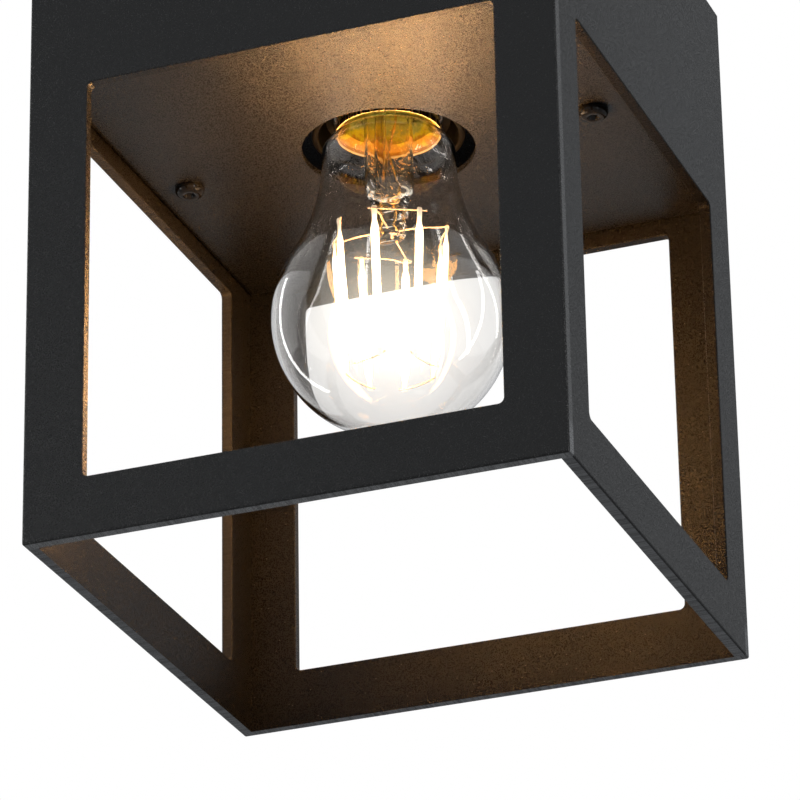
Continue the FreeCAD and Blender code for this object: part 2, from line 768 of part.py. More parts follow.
# ---------------------------------------------------------------- wires
def wire(points, bare_start, bare_end):
    """Insulated wire along a route, its core bare for a length at both ends."""
    path = route(points)
    first = points[1] - points[0]
    last = points[-1] - points[-2]
    first.normalize()
    last.normalize()
    jacket = sweep(wire_radius, path)
    start_core = bar(core_radius, points[0] - first * bare_start, points[0])
    end_core = bar(core_radius, points[-1], points[-1] + last * bare_end)
    expected = math.pi * wire_radius ** 2 * path.Length
    print("wire length", round(path.Length, 1), "volume ratio", round(jacket.Volume / expected, 4))
    return jacket.fuse(start_core).fuse(end_core).removeSplitter()


def make_wires():
    block_stop = block_near_y + rest_gap
    holder_stop = terminal_length / 2 + rest_gap
    lift_z = pole_z - wire_rise
    side_x = bridge_end_x + wire_side_gap - bridge_foot_length / 2
    clear_y = bridge_half_width + wire_side_gap
    live = [V(holder_stop, terminal_y, terminal_hole_z),
            V(side_x - wire_rise, terminal_y, terminal_hole_z),
            V(side_x, 0, lift_z),
            V(side_x - wire_side_gap, -terminal_y, lift_z),
            V(wire_rise, -terminal_y, lift_z),
            V(0, block_stop + wire_rise - wire_radius, pole_z),
            V(0, block_stop, pole_z)]
    save("live_wire", wire(live, wire_bare_length, wire_bare_length))
    neutral = [V(-holder_stop, -terminal_y, terminal_hole_z),
               V(-side_x + wire_side_gap, -terminal_y, terminal_hole_z),
               V(-side_x + wire_rise, -clear_y, lift_z),
               V(-block_pole_pitch - wire_rise, -clear_y + wire_rise, pole_z),
               V(-block_pole_pitch, block_stop + wire_rise - wire_radius, pole_z),
               V(-block_pole_pitch, block_stop, pole_z)]
    save("neutral_wire", wire(neutral, wire_bare_length, wire_bare_length))
    tag_z = earth_barrel_z()
    barrel_x = earth_barrel_end_x() - earth_tag_barrel
    earth = [V(block_pole_pitch, block_stop, pole_z),
             V(block_pole_pitch, block_stop + wire_rise, pole_z),
             V(block_pole_pitch + wire_side_gap, block_stop + wire_rise, pole_z + wire_radius),
             V(barrel_x - wire_rise, -earth_y, tag_z),
             V(barrel_x, -earth_y, tag_z)]
    save("earth_wire", wire(earth, wire_bare_length, wire_rise / 2))


# ---------------------------------------------------------------- earth point
def earth_tag_z():
    """Underside of the ring tag, below the washer."""
    return web_under_z - earth_washer_height - earth_tag_height


def earth_barrel_z():
    """Axis of the tag's crimped barrel, clear of the bracket above it."""
    return web_under_z - wire_radius - earth_tag_height / 2 - rest_gap


def earth_barrel_end_x():
    """Where the barrel meets the ring, just outside the washer."""
    return earth_x - earth_washer_radius - seat_clearance


def make_earth_point():
    screw = slotted_screw(earth_tag_z(), earth_tag_z() + earth_screw_length, m4_radius,
                          earth_head_radius, earth_head_height, earth_x, -earth_y)
    save("earth_screw", screw)
    washer_under_z = web_under_z - earth_washer_height
    washer = tube(earth_washer_radius, m4_radius + seat_clearance, washer_under_z, web_under_z,
                  earth_x, -earth_y)
    for k in range(earth_washer_teeth):
        angle = 2 * math.pi * k / earth_washer_teeth
        x = earth_x + earth_washer_radius * math.cos(angle)
        y = -earth_y + earth_washer_radius * math.sin(angle)
        washer = washer.cut(rod(earth_washer_height, washer_under_z - over_cut, web_under_z + over_cut, x, y))
    save("earth_washer", washer)
    ring_end_x = earth_barrel_end_x()
    barrel_x = ring_end_x - earth_tag_barrel
    under_z = earth_tag_z()
    tag = rod(earth_tag_radius, under_z, washer_under_z, earth_x, -earth_y)
    tag = tag.fuse(box(ring_end_x - over_cut, earth_x, -earth_y - wire_radius, -earth_y + wire_radius,
                       under_z, washer_under_z))
    tag = tag.cut(rod(m4_radius + seat_clearance, under_z - over_cut, washer_under_z + over_cut,
                      earth_x, -earth_y))
    centre_z = earth_barrel_z()
    barrel = bar(wire_radius + earth_tag_height / 2, V(barrel_x + rest_gap, -earth_y, centre_z),
                 V(ring_end_x, -earth_y, centre_z))
    barrel = barrel.cut(bar(core_radius + seat_clearance, V(barrel_x, -earth_y, centre_z),
                            V(barrel_x + wire_rise, -earth_y, centre_z)))
    save("earth_tag", tag.fuse(barrel).removeSplitter())


# ---------------------------------------------------------------- bulb
def cap_rib_start_z():
    return cap_rim_z + cap_rim_height + cap_flare_height + thread_pitch / 2


def make_bulb_foot():
    """Centre contact and insulator: round about the axis, so they only slide."""
    tip = rod(bulb_tip_radius, foot_top, bulb_top_z)
    save("bulb_foot_contact", tip.makeFillet(bulb_tip_height / 2, edges_level(tip, bulb_top_z)))
    insulator = turned([(0, foot_top), (insulator_top_radius, foot_top),
                        (insulator_radius, insulator_edge_z), (insulator_radius, insulator_under_z),
                        (0, insulator_under_z)])
    save("bulb_insulator", insulator)


def make_bulb_cap():
    """Screw cap with its rolled thread, the male half of the screw joint."""
    inner = cap_radius - cap_wall
    rim_inner = cap_rim_radius - cap_wall / 2
    rim_z = cap_rim_z + cap_rim_height
    flare_z = rim_z + cap_flare_height
    cap = turned([(inner, insulator_edge_z), (cap_radius, insulator_edge_z), (cap_radius, flare_z),
                  (cap_rim_radius, rim_z), (cap_rim_radius, cap_rim_z), (rim_inner, cap_rim_z),
                  (rim_inner, rim_z), (inner, flare_z)])
    rib = helix_rib(cap_radius + cap_rib_lift, cap_rib_radius, cap_rib_start_z(), cap_rib_turns)
    save("bulb_cap", cap.fuse(rib))


def glass_outline(inset):
    """Edges of the envelope's profile from the neck's top to the axis at the globe's end.

    Straight neck, a smooth shoulder, a hollow arc down the neck, and the globe's own arc.
    """
    top_z = cap_rim_z + neck_seal_height
    seal_end_z = cap_rim_z + neck_seal_end
    shoulder_z1 = cap_rim_z - neck_shoulder_drop
    tangent = math.radians(globe_tangent_angle)
    seal_r = neck_seal_radius - inset
    neck_r = globe_neck_radius - inset
    globe_r = globe_radius - inset
    join = V(globe_r * math.cos(tangent), 0, globe_z + globe_r * math.sin(tangent))
    full_join_r = globe_radius * math.cos(tangent)
    hollow = (full_join_r - globe_neck_radius) / (1 - math.cos(tangent))
    centre = V(globe_neck_radius + hollow, 0, globe_z + (globe_radius + hollow) * math.sin(tangent))
    hollow_r = hollow + inset
    neck_end = V(neck_r, 0, centre.z)
    half_way = tangent / 2
    hollow_mid = V(centre.x - hollow_r * math.cos(half_way), 0, centre.z - hollow_r * math.sin(half_way))
    sweep_mid = (tangent - math.pi / 2) / 2
    globe_mid = V(globe_r * math.cos(sweep_mid), 0, globe_z + globe_r * math.sin(sweep_mid))
    end = V(0, 0, globe_z - globe_r)
    shoulder = Part.BezierCurve()
    pull = (seal_end_z - shoulder_z1) / 2
    shoulder.setPoles([V(seal_r, 0, seal_end_z), V(seal_r, 0, seal_end_z - pull),
                       V(neck_r, 0, neck_end.z + pull), neck_end])
    return [Part.LineSegment(V(seal_r, 0, top_z), V(seal_r, 0, seal_end_z)).toShape(),
            shoulder.toShape(),
            Part.Arc(neck_end, hollow_mid, join).toShape(),
            Part.Arc(join, globe_mid, end).toShape()]


def make_bulb_glass():
    outer = glass_outline(0.0)
    inner = glass_outline(glass_wall)
    top_z = cap_rim_z + neck_seal_height
    lip = Part.LineSegment(V(neck_seal_radius, 0, top_z),
                           V(neck_seal_radius - glass_wall, 0, top_z)).toShape()
    closing = Part.LineSegment(V(0, 0, globe_z - globe_radius),
                               V(0, 0, globe_z - globe_radius + glass_wall)).toShape()
    outline = Part.Wire(Part.__sortEdges__(outer + inner + [lip, closing]))
    save("bulb_glass", Part.Face(outline).revolve(V(0, 0, 0), V(0, 0, 1), 360))


def make_bulb_stem():
    """Flared glass tube closed by a flat pinch, and the exhaust tube inside it."""
    flare_r = neck_seal_radius - glass_wall - seat_clearance
    flare_z = cap_rim_z + neck_seal_height
    waist_z = flare_z - stem_flare_height
    end_z = cap_rim_z - stem_end
    bore = stem_radius - stem_wall
    stem = turned([(flare_r, flare_z), (stem_radius, waist_z), (stem_radius, end_z), (bore, end_z),
                   (bore, waist_z), (flare_r - stem_wall, flare_z)])
    shoulder = Part.makeCone(pinch_width / 2, stem_radius, stem_radius / 2, V(0, 0, end_z - stem_radius / 2))
    top_z = end_z - stem_radius / 2
    low_z = top_z - pinch_height
    outline = [V(-pinch_width / 2, 0, top_z + over_cut), V(pinch_width / 2, 0, top_z + over_cut),
               V(pinch_tip_width / 2, 0, low_z), V(-pinch_tip_width / 2, 0, low_z)]
    pinch = Part.Face(Part.makePolygon(outline + outline[:1])).extrude(V(0, pinch_thickness, 0))
    pinch.translate(V(0, -pinch_thickness / 2, 0))
    save("bulb_stem", stem.multiFuse([shoulder, pinch]).removeSplitter())
    exhaust = tube(exhaust_radius, exhaust_bore_radius, end_z, end_z + exhaust_length, exhaust_x, exhaust_y)
    save("bulb_exhaust_tube", exhaust)


def make_bulb_leads():
    """Two wires from the driver board down to the pinch."""
    end_z = cap_rim_z - stem_end
    top_z = insulator_under_z - driver_height
    leads = []
    for side in (-1, 1):
        foot = V(side * lead_x, lead_y + exhaust_radius, end_z + lead_radius)
        leads.append(bar(lead_radius, foot, V(side * lead_x, lead_y, top_z)))
    save("bulb_lead_wires", *leads)


def make_bulb_driver():
    """Small board with its parts inside the cap, above the stem's flare."""
    top_z = insulator_under_z - rest_gap
    middle_z = top_z - driver_height / 2
    face_y = -driver_board / 2
    solids = [box(-driver_width / 2, driver_width / 2, face_y, -face_y, top_z - driver_height, top_z)]
    spacing = driver_width / driver_part_count
    for k in range(driver_part_count):
        x = (k - (driver_part_count - 1) / 2) * spacing
        solids.append(box(x - driver_part_width / 2, x + driver_part_width / 2,
                          face_y - driver_part_height, face_y,
                          middle_z - driver_part_length / 2, middle_z + driver_part_length / 2))
    save("bulb_driver", *solids)


def filament_angle(index):
    return math.radians(filament_phase + 360.0 * index / filament_count)


def filament_end(index, radius, z):
    angle = filament_angle(index)
    return V(radius * math.cos(angle), radius * math.sin(angle), z)


def make_bulb_filaments():
    """Lit strips set round a slightly tapering ring."""
    lean = math.degrees(math.asin((filament_top_radius - filament_bottom_radius) / filament_length))
    strips = []
    for k in range(filament_count):
        body = box(-filament_thickness / 2, filament_thickness / 2, -filament_width / 2, filament_width / 2,
                   -filament_length, 0)
        body.rotate(V(0, 0, 0), V(0, 1, 0), lean)
        body.translate(V(filament_top_radius, 0, filament_top_z))
        body.rotate(V(0, 0, 0), V(0, 0, 1), math.degrees(filament_angle(k)))
        strips.append(body)
    save("bulb_filaments", *strips)


def pinch_reach(angle, z):
    """How far the flat pinch reaches from the axis, in one direction at one height."""
    top_z = cap_rim_z - stem_end - stem_radius / 2
    down = (top_z - z) / pinch_height
    half_width = pinch_width / 2 + (pinch_tip_width - pinch_width) / 2 * down
    across = half_width / max(abs(math.cos(angle)), tolerance)
    through = pinch_thickness / 2 / max(abs(math.sin(angle)), tolerance)
    return min(across, through)


def make_bulb_wires():
    """Wires that join the filaments in pairs: above from the pinch, below end to end."""
    upper_z = filament_top_z + support_radius + filament_thickness / 4
    lower_z = filament_bottom_z - support_radius - filament_thickness / 4
    upper = []
    lower = []
    for k in range(0, filament_count, 2):
        near = filament_end(k, filament_top_radius, upper_z)
        far = filament_end(k + 1, filament_top_radius, upper_z)
        root = filament_end(k, pinch_reach(filament_angle(k), upper_z) + support_radius, upper_z)
        run = far - near
        run.normalize()
        path = route([root, near, far + run * support_overhang], support_arc_share)
        upper.append(sweep(support_radius, path))
        start = filament_end(k + 1, filament_bottom_radius, lower_z)
        end = filament_end(k + 2, filament_bottom_radius, lower_z)
        link = end - start
        link.normalize()
        lower.append(bar(support_radius, start - link * support_overhang, end + link * support_overhang))
    save("bulb_upper_wires", *upper)
    save("bulb_lower_wires", *lower)


make_cage()
make_socket_plate()
make_plate_fixings()
make_ceiling_bracket()
make_ceiling_gasket()
make_cable_grommet()
make_bridge()
make_lampholder_base()
make_lampholder_sleeve()
make_lampholder_thread()
make_lampholder_contacts()
make_lampholder_terminals()
make_lampholder_fixings()
make_terminal_block()
make_terminal_inserts()
make_clamp_screws()
make_wires()
make_earth_point()
make_bulb_foot()
make_bulb_cap()
make_bulb_glass()
make_bulb_stem()
make_bulb_leads()
make_bulb_driver()
make_bulb_filaments()
make_bulb_wires()
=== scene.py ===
import bmesh
import bpy
import math
import numpy as np
from mathutils import Matrix, Vector


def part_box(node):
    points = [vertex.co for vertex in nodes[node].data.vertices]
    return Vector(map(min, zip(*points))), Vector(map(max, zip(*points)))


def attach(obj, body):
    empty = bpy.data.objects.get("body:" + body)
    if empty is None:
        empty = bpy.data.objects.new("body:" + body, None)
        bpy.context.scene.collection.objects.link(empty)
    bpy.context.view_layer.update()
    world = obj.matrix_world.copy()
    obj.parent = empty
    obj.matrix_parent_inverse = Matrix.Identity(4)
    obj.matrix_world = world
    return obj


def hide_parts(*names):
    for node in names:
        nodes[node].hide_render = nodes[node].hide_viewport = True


# Looks of the porch ceiling lantern, in metres, in the frame of its CAD model:
# the origin is the centre of the ceiling face, +Z points up, -Y is the front.

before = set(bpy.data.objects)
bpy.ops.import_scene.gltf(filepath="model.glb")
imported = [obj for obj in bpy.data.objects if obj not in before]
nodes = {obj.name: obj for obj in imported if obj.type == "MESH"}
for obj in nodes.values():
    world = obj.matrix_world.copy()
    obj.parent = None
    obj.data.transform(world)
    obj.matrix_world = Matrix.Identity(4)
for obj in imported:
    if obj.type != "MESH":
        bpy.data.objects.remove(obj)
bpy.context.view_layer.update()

# ------------------------------ camera
camera_place = (0.38692, -1.02503, -0.63934)
camera_yaw = math.radians(-20.59)
camera_pitch = math.radians(24.99)
camera_roll = math.radians(-1.02)
camera_lens = 220.97
camera_sensor = 36.0

# ------------------------------ bulb sizes
neck_seal_radius = 0.0112
neck_seal_end = 0.0029      # the straight neck ends this far above the cap's rim
neck_radius = 0.0169
neck_join_angle = math.radians(32.0)
glass_wall = 0.0008
stem_radius = 0.006
stem_wall = 0.0007
stem_flare = 0.005
stem_end = 0.0175           # below the cap's rim
pinch_width = 0.0096
pinch_tip_width = 0.0074
pinch_thickness = 0.0036
pinch_length = 0.010
pinch_tip_length = 0.0012
pinch_taper_start = 0.0045  # below the stem's end
pinch_taper_length = 0.009
funnel_start = 0.0030       # above the stem's end
funnel_length = 0.0070
hollow_end = 0.0022         # below the stem's end
hollow_dome_length = 0.0045
exhaust_radius = 0.0015
exhaust_bore = 0.0009
lead_radius = 0.00032
filament_count = 8
filament_phase = math.radians(5.6)
filament_top_ring = 0.0147
filament_bottom_ring = 0.0113
filament_width = 0.0021
filament_thickness = 0.0014
filament_bow = 0.0005
top_tab_length = 0.0024
bottom_tab_length = 0.0018
tab_width = 0.0013
tab_thickness = 0.0004
support_radius = 0.00026
strip_taper_share = 0.11    # of a strip's length, at each end
strip_end_width = 0.5       # share of the full width

# ------------------------------ screw, grommet and pad sizes
screw_head_radius = 0.0038
screw_dome_radius = 0.00165
screw_socket_width = 0.0025
screw_socket_depth = 0.0013
screw_socket_bevel = 0.00014
screw_radius = 0.00198
screw_thread_pitch = 0.0007
screw_thread_depth = 0.00032
grommet_lip = 0.0009
grommet_waist = 0.007
grommet_bore = 0.004
gasket_edge = 0.0005

# ------------------------------ colours and light
coat_dark = (0.0013, 0.0014, 0.0017, 1)
coat_light = (0.0042, 0.0042, 0.0045, 1)
coat_flake = (0.07, 0.067, 0.063, 1)
# painted light: the pale grey of the cut edges at the lantern's foot stands in for light from below
coat_rim_painted_light = (0.175, 0.178, 0.186, 1)
coat_grain = 0.0003
coat_flake_share = 0.012
coat_relief = 0.00013
lit_rim_heights = (-0.174, -0.177)   # cut edges turn into the painted lit rim between these heights
dust_colour = (0.34, 0.32, 0.29, 1)
# painted light and reflection inside the cap: its warm tones and pale streaks stand in for the bulb's light
# and glints, and the pale rim for lit cream cement
painted_inside_orange = (0.31, 0.175, 0.003, 1)
painted_inside_yellow = (0.45, 0.46, 0.010, 1)
painted_inside_olive = (0.21, 0.29, 0.09, 1)
painted_inside_streak = (0.66, 0.60, 0.22, 1)
painted_inside_rim = (0.95, 0.95, 0.80, 1)
glass_ior = 1.46
glass_painted_glow_heights = (-0.070, -0.088)  # heights where the painted glow on the glass starts, and where it is full
glass_painted_glow_colour = (1.0, 0.88, 0.68, 1)
strip_white = (1.0, 0.90, 0.70, 1)
strip_warm = (1.0, 0.72, 0.34, 1)
strip_glow = 8.0                 # as the camera sees it
strip_light_colour = (1.0, 0.47, 0.13, 1)
strip_light = 500.0              # as the lantern gets it
# painted glow on the metal tabs, standing in for the strips' light on them
tab_painted_glow_colour = (1.0, 0.86, 0.62, 1)
tab_painted_glow = 1.1
white = (1.0, 1.0, 1.0, 1)
studio_tint = (0.94, 0.97, 1.0, 1)
side_of_studio = (0.58, 0.56, 0.60)
front_of_studio = (-0.32, -0.85, 0.42)
floor_colour = (0.82, 0.82, 0.81, 1)
floor_reach, floor_level = 9.0, -2.3

# ------------------------------ places
cap_low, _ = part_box("bulb_cap")
glass_low, glass_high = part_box("bulb_glass")
exhaust_low, exhaust_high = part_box("bulb_exhaust_tube")
lead_low, lead_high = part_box("bulb_lead_wires")
filament_low, filament_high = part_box("bulb_filaments")
screw_low, screw_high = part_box("plate_screws")
plate_low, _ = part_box("socket_plate")
grommet_low, grommet_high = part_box("cable_grommet")
cap_rim_z = cap_low.z
globe_radius = (glass_high.x - glass_low.x) / 2
globe_z = glass_low.z + globe_radius
neck_top_z = glass_high.z


# ------------------------------ mesh helpers
def grid_faces(rows, columns, offset=0):
    """Quads of a grid whose columns close on themselves: each cell joins a point
    to its right-hand neighbour and to the two points below them."""
    row, column = np.meshgrid(np.arange(rows - 1), np.arange(columns), indexing="ij")
    right = (column + 1) % columns
    quads = np.stack([row * columns + column, row * columns + right,
                      (row + 1) * columns + right, (row + 1) * columns + column], -1)
    return quads.reshape(-1, 4) + offset


def make_piece(name, grids, material, body, replaces=()):
    """Turns grids of points (rows, columns, 3) into one mesh. Points that coincide,
    such as a pole's, are merged, and every face is then turned outwards."""
    points, faces, offset = [], [], 0
    for grid in grids:
        rows, columns = grid.shape[:2]
        points.append(grid.reshape(-1, 3))
        faces.append(grid_faces(rows, columns, offset))
        offset += rows * columns
    mesh = bpy.data.meshes.new(name)
    mesh.from_pydata(np.concatenate(points).tolist(), [], np.concatenate(faces).tolist())
    return finish_piece(name, mesh, material, body, replaces)


def finish_piece(name, mesh, material, body, replaces):
    """Merges doubles, turns normals outwards, smooths, and hands the piece to its body."""
    work = bmesh.new()
    work.from_mesh(mesh)
    bmesh.ops.remove_doubles(work, verts=work.verts, dist=1e-7)
    bmesh.ops.recalc_face_normals(work, faces=work.faces)
    work.to_mesh(mesh)
    work.free()
    mesh.shade_smooth()
    mesh.materials.append(material)
    piece = bpy.data.objects.new(name, mesh)
    bpy.context.scene.collection.objects.link(piece)
    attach(piece, body)
    if replaces:
        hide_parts(*replaces)
    return piece


def arc(centre, radius, start, end, count):
    """Points of a circular arc in the (radius, z) plane: centre plus radius times
    the cosine and sine of angles spread evenly from start to end."""
    angle = np.linspace(start, end, count)
    return np.stack([centre[0] + radius * np.cos(angle), centre[1] + radius * np.sin(angle)], -1)


def lathe(profile, sides, centre=(0.0, 0.0)):
    """Surface of revolution: each (radius, z) of the profile is carried round the
    vertical line through centre, x = radius cos a, y = radius sin a."""
    profile = np.asarray(profile, float)
    angle = np.arange(sides) * 2 * math.pi / sides
    radius, height = profile[:, :1], profile[:, 1:]
    return np.stack([centre[0] + radius * np.cos(angle), centre[1] + radius * np.sin(angle),
                     height + 0 * angle], -1)


def smoothed(points, rounds=4):
    """Chaikin's corner cutting: every run is replaced by its quarter points, and the
    two ends stay, which tends to a quadratic spline."""
    points = np.asarray(points, float)
    for _ in range(rounds):
        near = 0.75 * points[:-1] + 0.25 * points[1:]
        far = 0.25 * points[:-1] + 0.75 * points[1:]
        inner = np.stack([near, far], 1).reshape(-1, 3)
        points = np.concatenate([points[:1], inner, points[-1:]])
    return points


def unit(arrows):
    return arrows / np.linalg.norm(arrows, axis=-1, keepdims=True)


def eased(share):
    """Smooth step s^2 (3 - 2 s) of a share that is cut to 0...1."""
    share = np.clip(share, 0, 1)
    return share * share * (3 - 2 * share)


def domed(share):
    """Quarter circle sqrt(1 - (1 - s)^2) of a share that is cut to 0...1."""
    return np.sqrt(1 - (1 - np.clip(share, 0, 1)) ** 2)


def section_along(path, side, half_side, half_depth, roundness, sides):
    """Carries a superellipse along a path. side is a direction across the path, and
    the depth direction is square to it. A point of the section is
    half_side |cos a|^(2/n) along side and half_depth |sin a|^(2/n) along depth."""
    heading = unit(np.gradient(path, axis=0))
    across = unit(side - (side * heading).sum(-1, keepdims=True) * heading)
    depth = np.cross(heading, across)
    angle = np.arange(sides) * 2 * math.pi / sides
    power = 2 / roundness
    cosine = np.sign(np.cos(angle)) * np.abs(np.cos(angle)) ** power
    sine = np.sign(np.sin(angle)) * np.abs(np.sin(angle)) ** power
    return (path[:, None] + across[:, None] * (half_side[:, None] * cosine)[..., None]
            + depth[:, None] * (half_depth[:, None] * sine)[..., None])


def rounded_ends(path, end_length):
    """Share of the full section at each point of a path: a quarter circle at each
    end, of the distance to that end over end_length."""
    step = np.linalg.norm(np.diff(path, axis=0), axis=1)
    along = np.concatenate([[0.0], np.cumsum(step)])
    return domed(np.minimum(along, along[-1] - along) / end_length)


def round_wire(points, radius, reference, sides=12, rounds=4):
    """Round wire with domed ends along a smoothed path."""
    path = smoothed(points, rounds)
    share = rounded_ends(path, radius)
    side = np.tile(np.asarray(reference, float), (len(path), 1))
    return section_along(path, side, radius * share, radius * share, 2.0, sides)


# ------------------------------ shader helpers
# The id_data of a socket or node is the node tree that it belongs to.
def plug(socket, value):
    """Gives a socket a plain value, or a link from the output that feeds it."""
    if isinstance(value, bpy.types.NodeSocket):
        socket.id_data.links.new(value, socket)
    else:
        socket.default_value = value


def plug_all(sockets, values):
    """Feeds several sockets of a node, each by its name or number."""
    for key, value in values.items():
        plug(sockets[key], value)


def add(tree, kind, inputs=None, **properties):
    """Adds a node. An input is either a value or the output socket that feeds it."""
    made = tree.nodes.new(kind)
    for key, value in properties.items():
        setattr(made, key, value)
    plug_all(made.inputs, inputs or {})
    return made


def counted(tree, operation, a, b=0.0):
    """Arithmetic on values."""
    return add(tree, "ShaderNodeMath", {0: a, 1: b}, operation=operation).outputs[0]


def sum_of(first, *rest):
    for value in rest:
        first = counted(first.id_data, "ADD", first, value)
    return first


def product(first, *rest):
    for value in rest:
        first = counted(first.id_data, "MULTIPLY", first, value)
    return first


def larger(a, b):
    return counted(a.id_data, "MAXIMUM", a, b)


def vectors(operation, inputs):
    """Arithmetic on vectors, with the inputs by their numbers."""
    tree = inputs[0].id_data
    return add(tree, "ShaderNodeVectorMath", inputs, operation=operation).outputs


def stretched(place, factors):
    """Each coordinate times its own factor."""
    return vectors("MULTIPLY", {0: place, 1: factors})[0]


def dot(a, b):
    return vectors("DOT_PRODUCT", {0: a, 1: b})["Value"]


def coordinates(tree, kind="Object"):
    return tree.nodes.new("ShaderNodeTexCoord").outputs[kind]


def z_of(vector):
    return add(vector.id_data, "ShaderNodeSeparateXYZ", {0: vector}).outputs["Z"]


def ranged(value, low, high, to_low=0.0, to_high=1.0):
    """Smooth step of a value from one range to another."""
    limits = {"Value": value, "From Min": low, "From Max": high, "To Min": to_low, "To Max": to_high}
    step = add(value.id_data, "ShaderNodeMapRange", limits, interpolation_type="SMOOTHSTEP")
    return step.outputs["Result"]


def mixed(share, a, b):
    """Colour between a and b."""
    return add(share.id_data, "ShaderNodeMix", {0: share, 6: a, 7: b}, data_type="RGBA").outputs[2]


def between(share, a, b):
    """Value between a and b."""
    return add(share.id_data, "ShaderNodeMix", {0: share, 2: a, 3: b}).outputs[0]


def noise(place, scale, detail=2.0, roughness=0.55):
    inputs = {"Vector": place, "Scale": scale, "Detail": detail, "Roughness": roughness}
    return add(place.id_data, "ShaderNodeTexNoise", inputs).outputs["Fac"]


def ray_kinds(tree):
    return tree.nodes.new("ShaderNodeLightPath").outputs


def seen_rays(tree):
    """1 for rays that show the background: straight ones and those through glass."""
    rays = ray_kinds(tree)
    return larger(rays["Is Camera Ray"], rays["Is Transmission Ray"])


def new_group(name, inputs, outputs):
    """Shader node group with named sockets. Each is (name, kind) or (name, kind, value)."""
    tree = bpy.data.node_groups.new(name, "ShaderNodeTree")
    for way, sockets in (("INPUT", inputs), ("OUTPUT", outputs)):
        for label, kind, *value in sockets:
            socket = tree.interface.new_socket(name=label, in_out=way, socket_type="NodeSocket" + kind)
            if value:
                socket.default_value = value[0]
    start = tree.nodes.new("NodeGroupInput")
    end = tree.nodes.new("NodeGroupOutput")
    return tree, start.outputs, end.inputs


def place_group(tree, group, inputs):
    made = tree.nodes.new("ShaderNodeGroup")
    made.node_tree = group
    plug_all(made.inputs, inputs)
    return made.outputs


# ------------------------------ shader groups
def make_powder_grain():
    """Fine-texture powder coat: small grains that tint the paint and lift it, sparse
    brighter flakes, broad mottling, and on cut edges the lines that the cutter left,
    which run straight through the sheet. Cut edges carry painted light and shade in their grey, and edges at
    the lantern's foot are painted pale, as if lit from below."""
    tree, given, end = new_group(
        "powder_grain",
        [("Dark", "Color"), ("Light", "Color"), ("Flake", "Color"), ("Rim", "Color"), ("Kerf", "Color"),
         ("Grain Size", "Float", 0.0004), ("Flake Share", "Float", 0.04), ("Sheet Axis", "Vector"),
         ("Roughness", "Float", 0.5)],
        [("Colour", "Color"), ("Roughness", "Float"), ("Height", "Float")])
    place = coordinates(tree)
    axis = given["Sheet Axis"]
    fineness = counted(tree, "DIVIDE", 1.0, given["Grain Size"])
    grain = noise(place, fineness, 3.0, 0.6)
    coarse = noise(place, product(fineness, 0.35), 2.0)
    broad = noise(place, 28.0, 3.0)
    cell_scale = product(fineness, 0.6)
    cells = add(tree, "ShaderNodeTexVoronoi", {"Vector": place, "Scale": cell_scale}).outputs
    lottery = add(tree, "ShaderNodeSeparateColor", {"Color": cells["Color"]}).outputs["Red"]
    chosen = counted(tree, "GREATER_THAN", lottery, counted(tree, "SUBTRACT", 1.0, given["Flake Share"]))
    flake = product(chosen, ranged(cells["Distance"], 0.42, 0.18))
    facing = counted(tree, "ABSOLUTE", dot(coordinates(tree, "Normal"), axis))
    cut = ranged(facing, 0.5, 0.2)
    lift = vectors("SCALE", {0: axis, 3: dot(place, axis)})[0]
    flat = vectors("SUBTRACT", {0: place, 1: lift})[0]
    kerf = noise(flat, 1500.0, 2.0)
    share = sum_of(product(ranged(grain, 0.35, 0.7), 0.8),
                   product(ranged(broad, 0.3, 0.7), 0.2))
    colour = mixed(share, given["Dark"], given["Light"])
    # painted light and shade on cut edges: the sheet's kerf grey, and the pale rim grey at the foot
    edge = mixed(ranged(z_of(place), *lit_rim_heights), given["Kerf"], given["Rim"])
    colour = mixed(product(cut, ranged(kerf, 0.3, 0.65, 0.35, 1.0)), colour, edge)
    plug_all(end, {
        "Colour": mixed(flake, colour, given["Flake"]),
        "Roughness": sum_of(given["Roughness"], ranged(grain, 0.38, 0.62, -0.10, 0.10),
                            product(flake, -0.18)),
        "Height": sum_of(product(grain, 0.9), product(coarse, 0.25),
                         product(kerf, cut, 1.4))})
    return tree


def make_drawn_metal():
    """Plated or drawn metal: fine marks stretched along one direction, cloudy tarnish
    between two tints, and small stains that dull it."""
    tree, given, end = new_group(
        "drawn_metal",
        [("Bright", "Color"), ("Dull", "Color"), ("Stretch", "Vector"), ("Roughness", "Float", 0.3),
         ("Stain", "Float", 0.3)],
        [("Colour", "Color"), ("Roughness", "Float"), ("Height", "Float")])
    place = coordinates(tree)
    marks = noise(stretched(place, given["Stretch"]), 1.0, 3.0)
    cloud = noise(place, 140.0, 4.0, 0.6)
    stain = product(ranged(noise(place, 420.0, 2.0), 0.56, 0.72), given["Stain"])
    share = sum_of(ranged(cloud, 0.35, 0.7, 0.0, 0.6), product(marks, 0.3), stain)
    plug_all(end, {
        "Colour": mixed(share, given["Bright"], given["Dull"]),
        "Roughness": sum_of(given["Roughness"], ranged(marks, 0.3, 0.7, -0.06, 0.08),
                            product(stain, 0.4)),
        "Height": marks})
    return tree


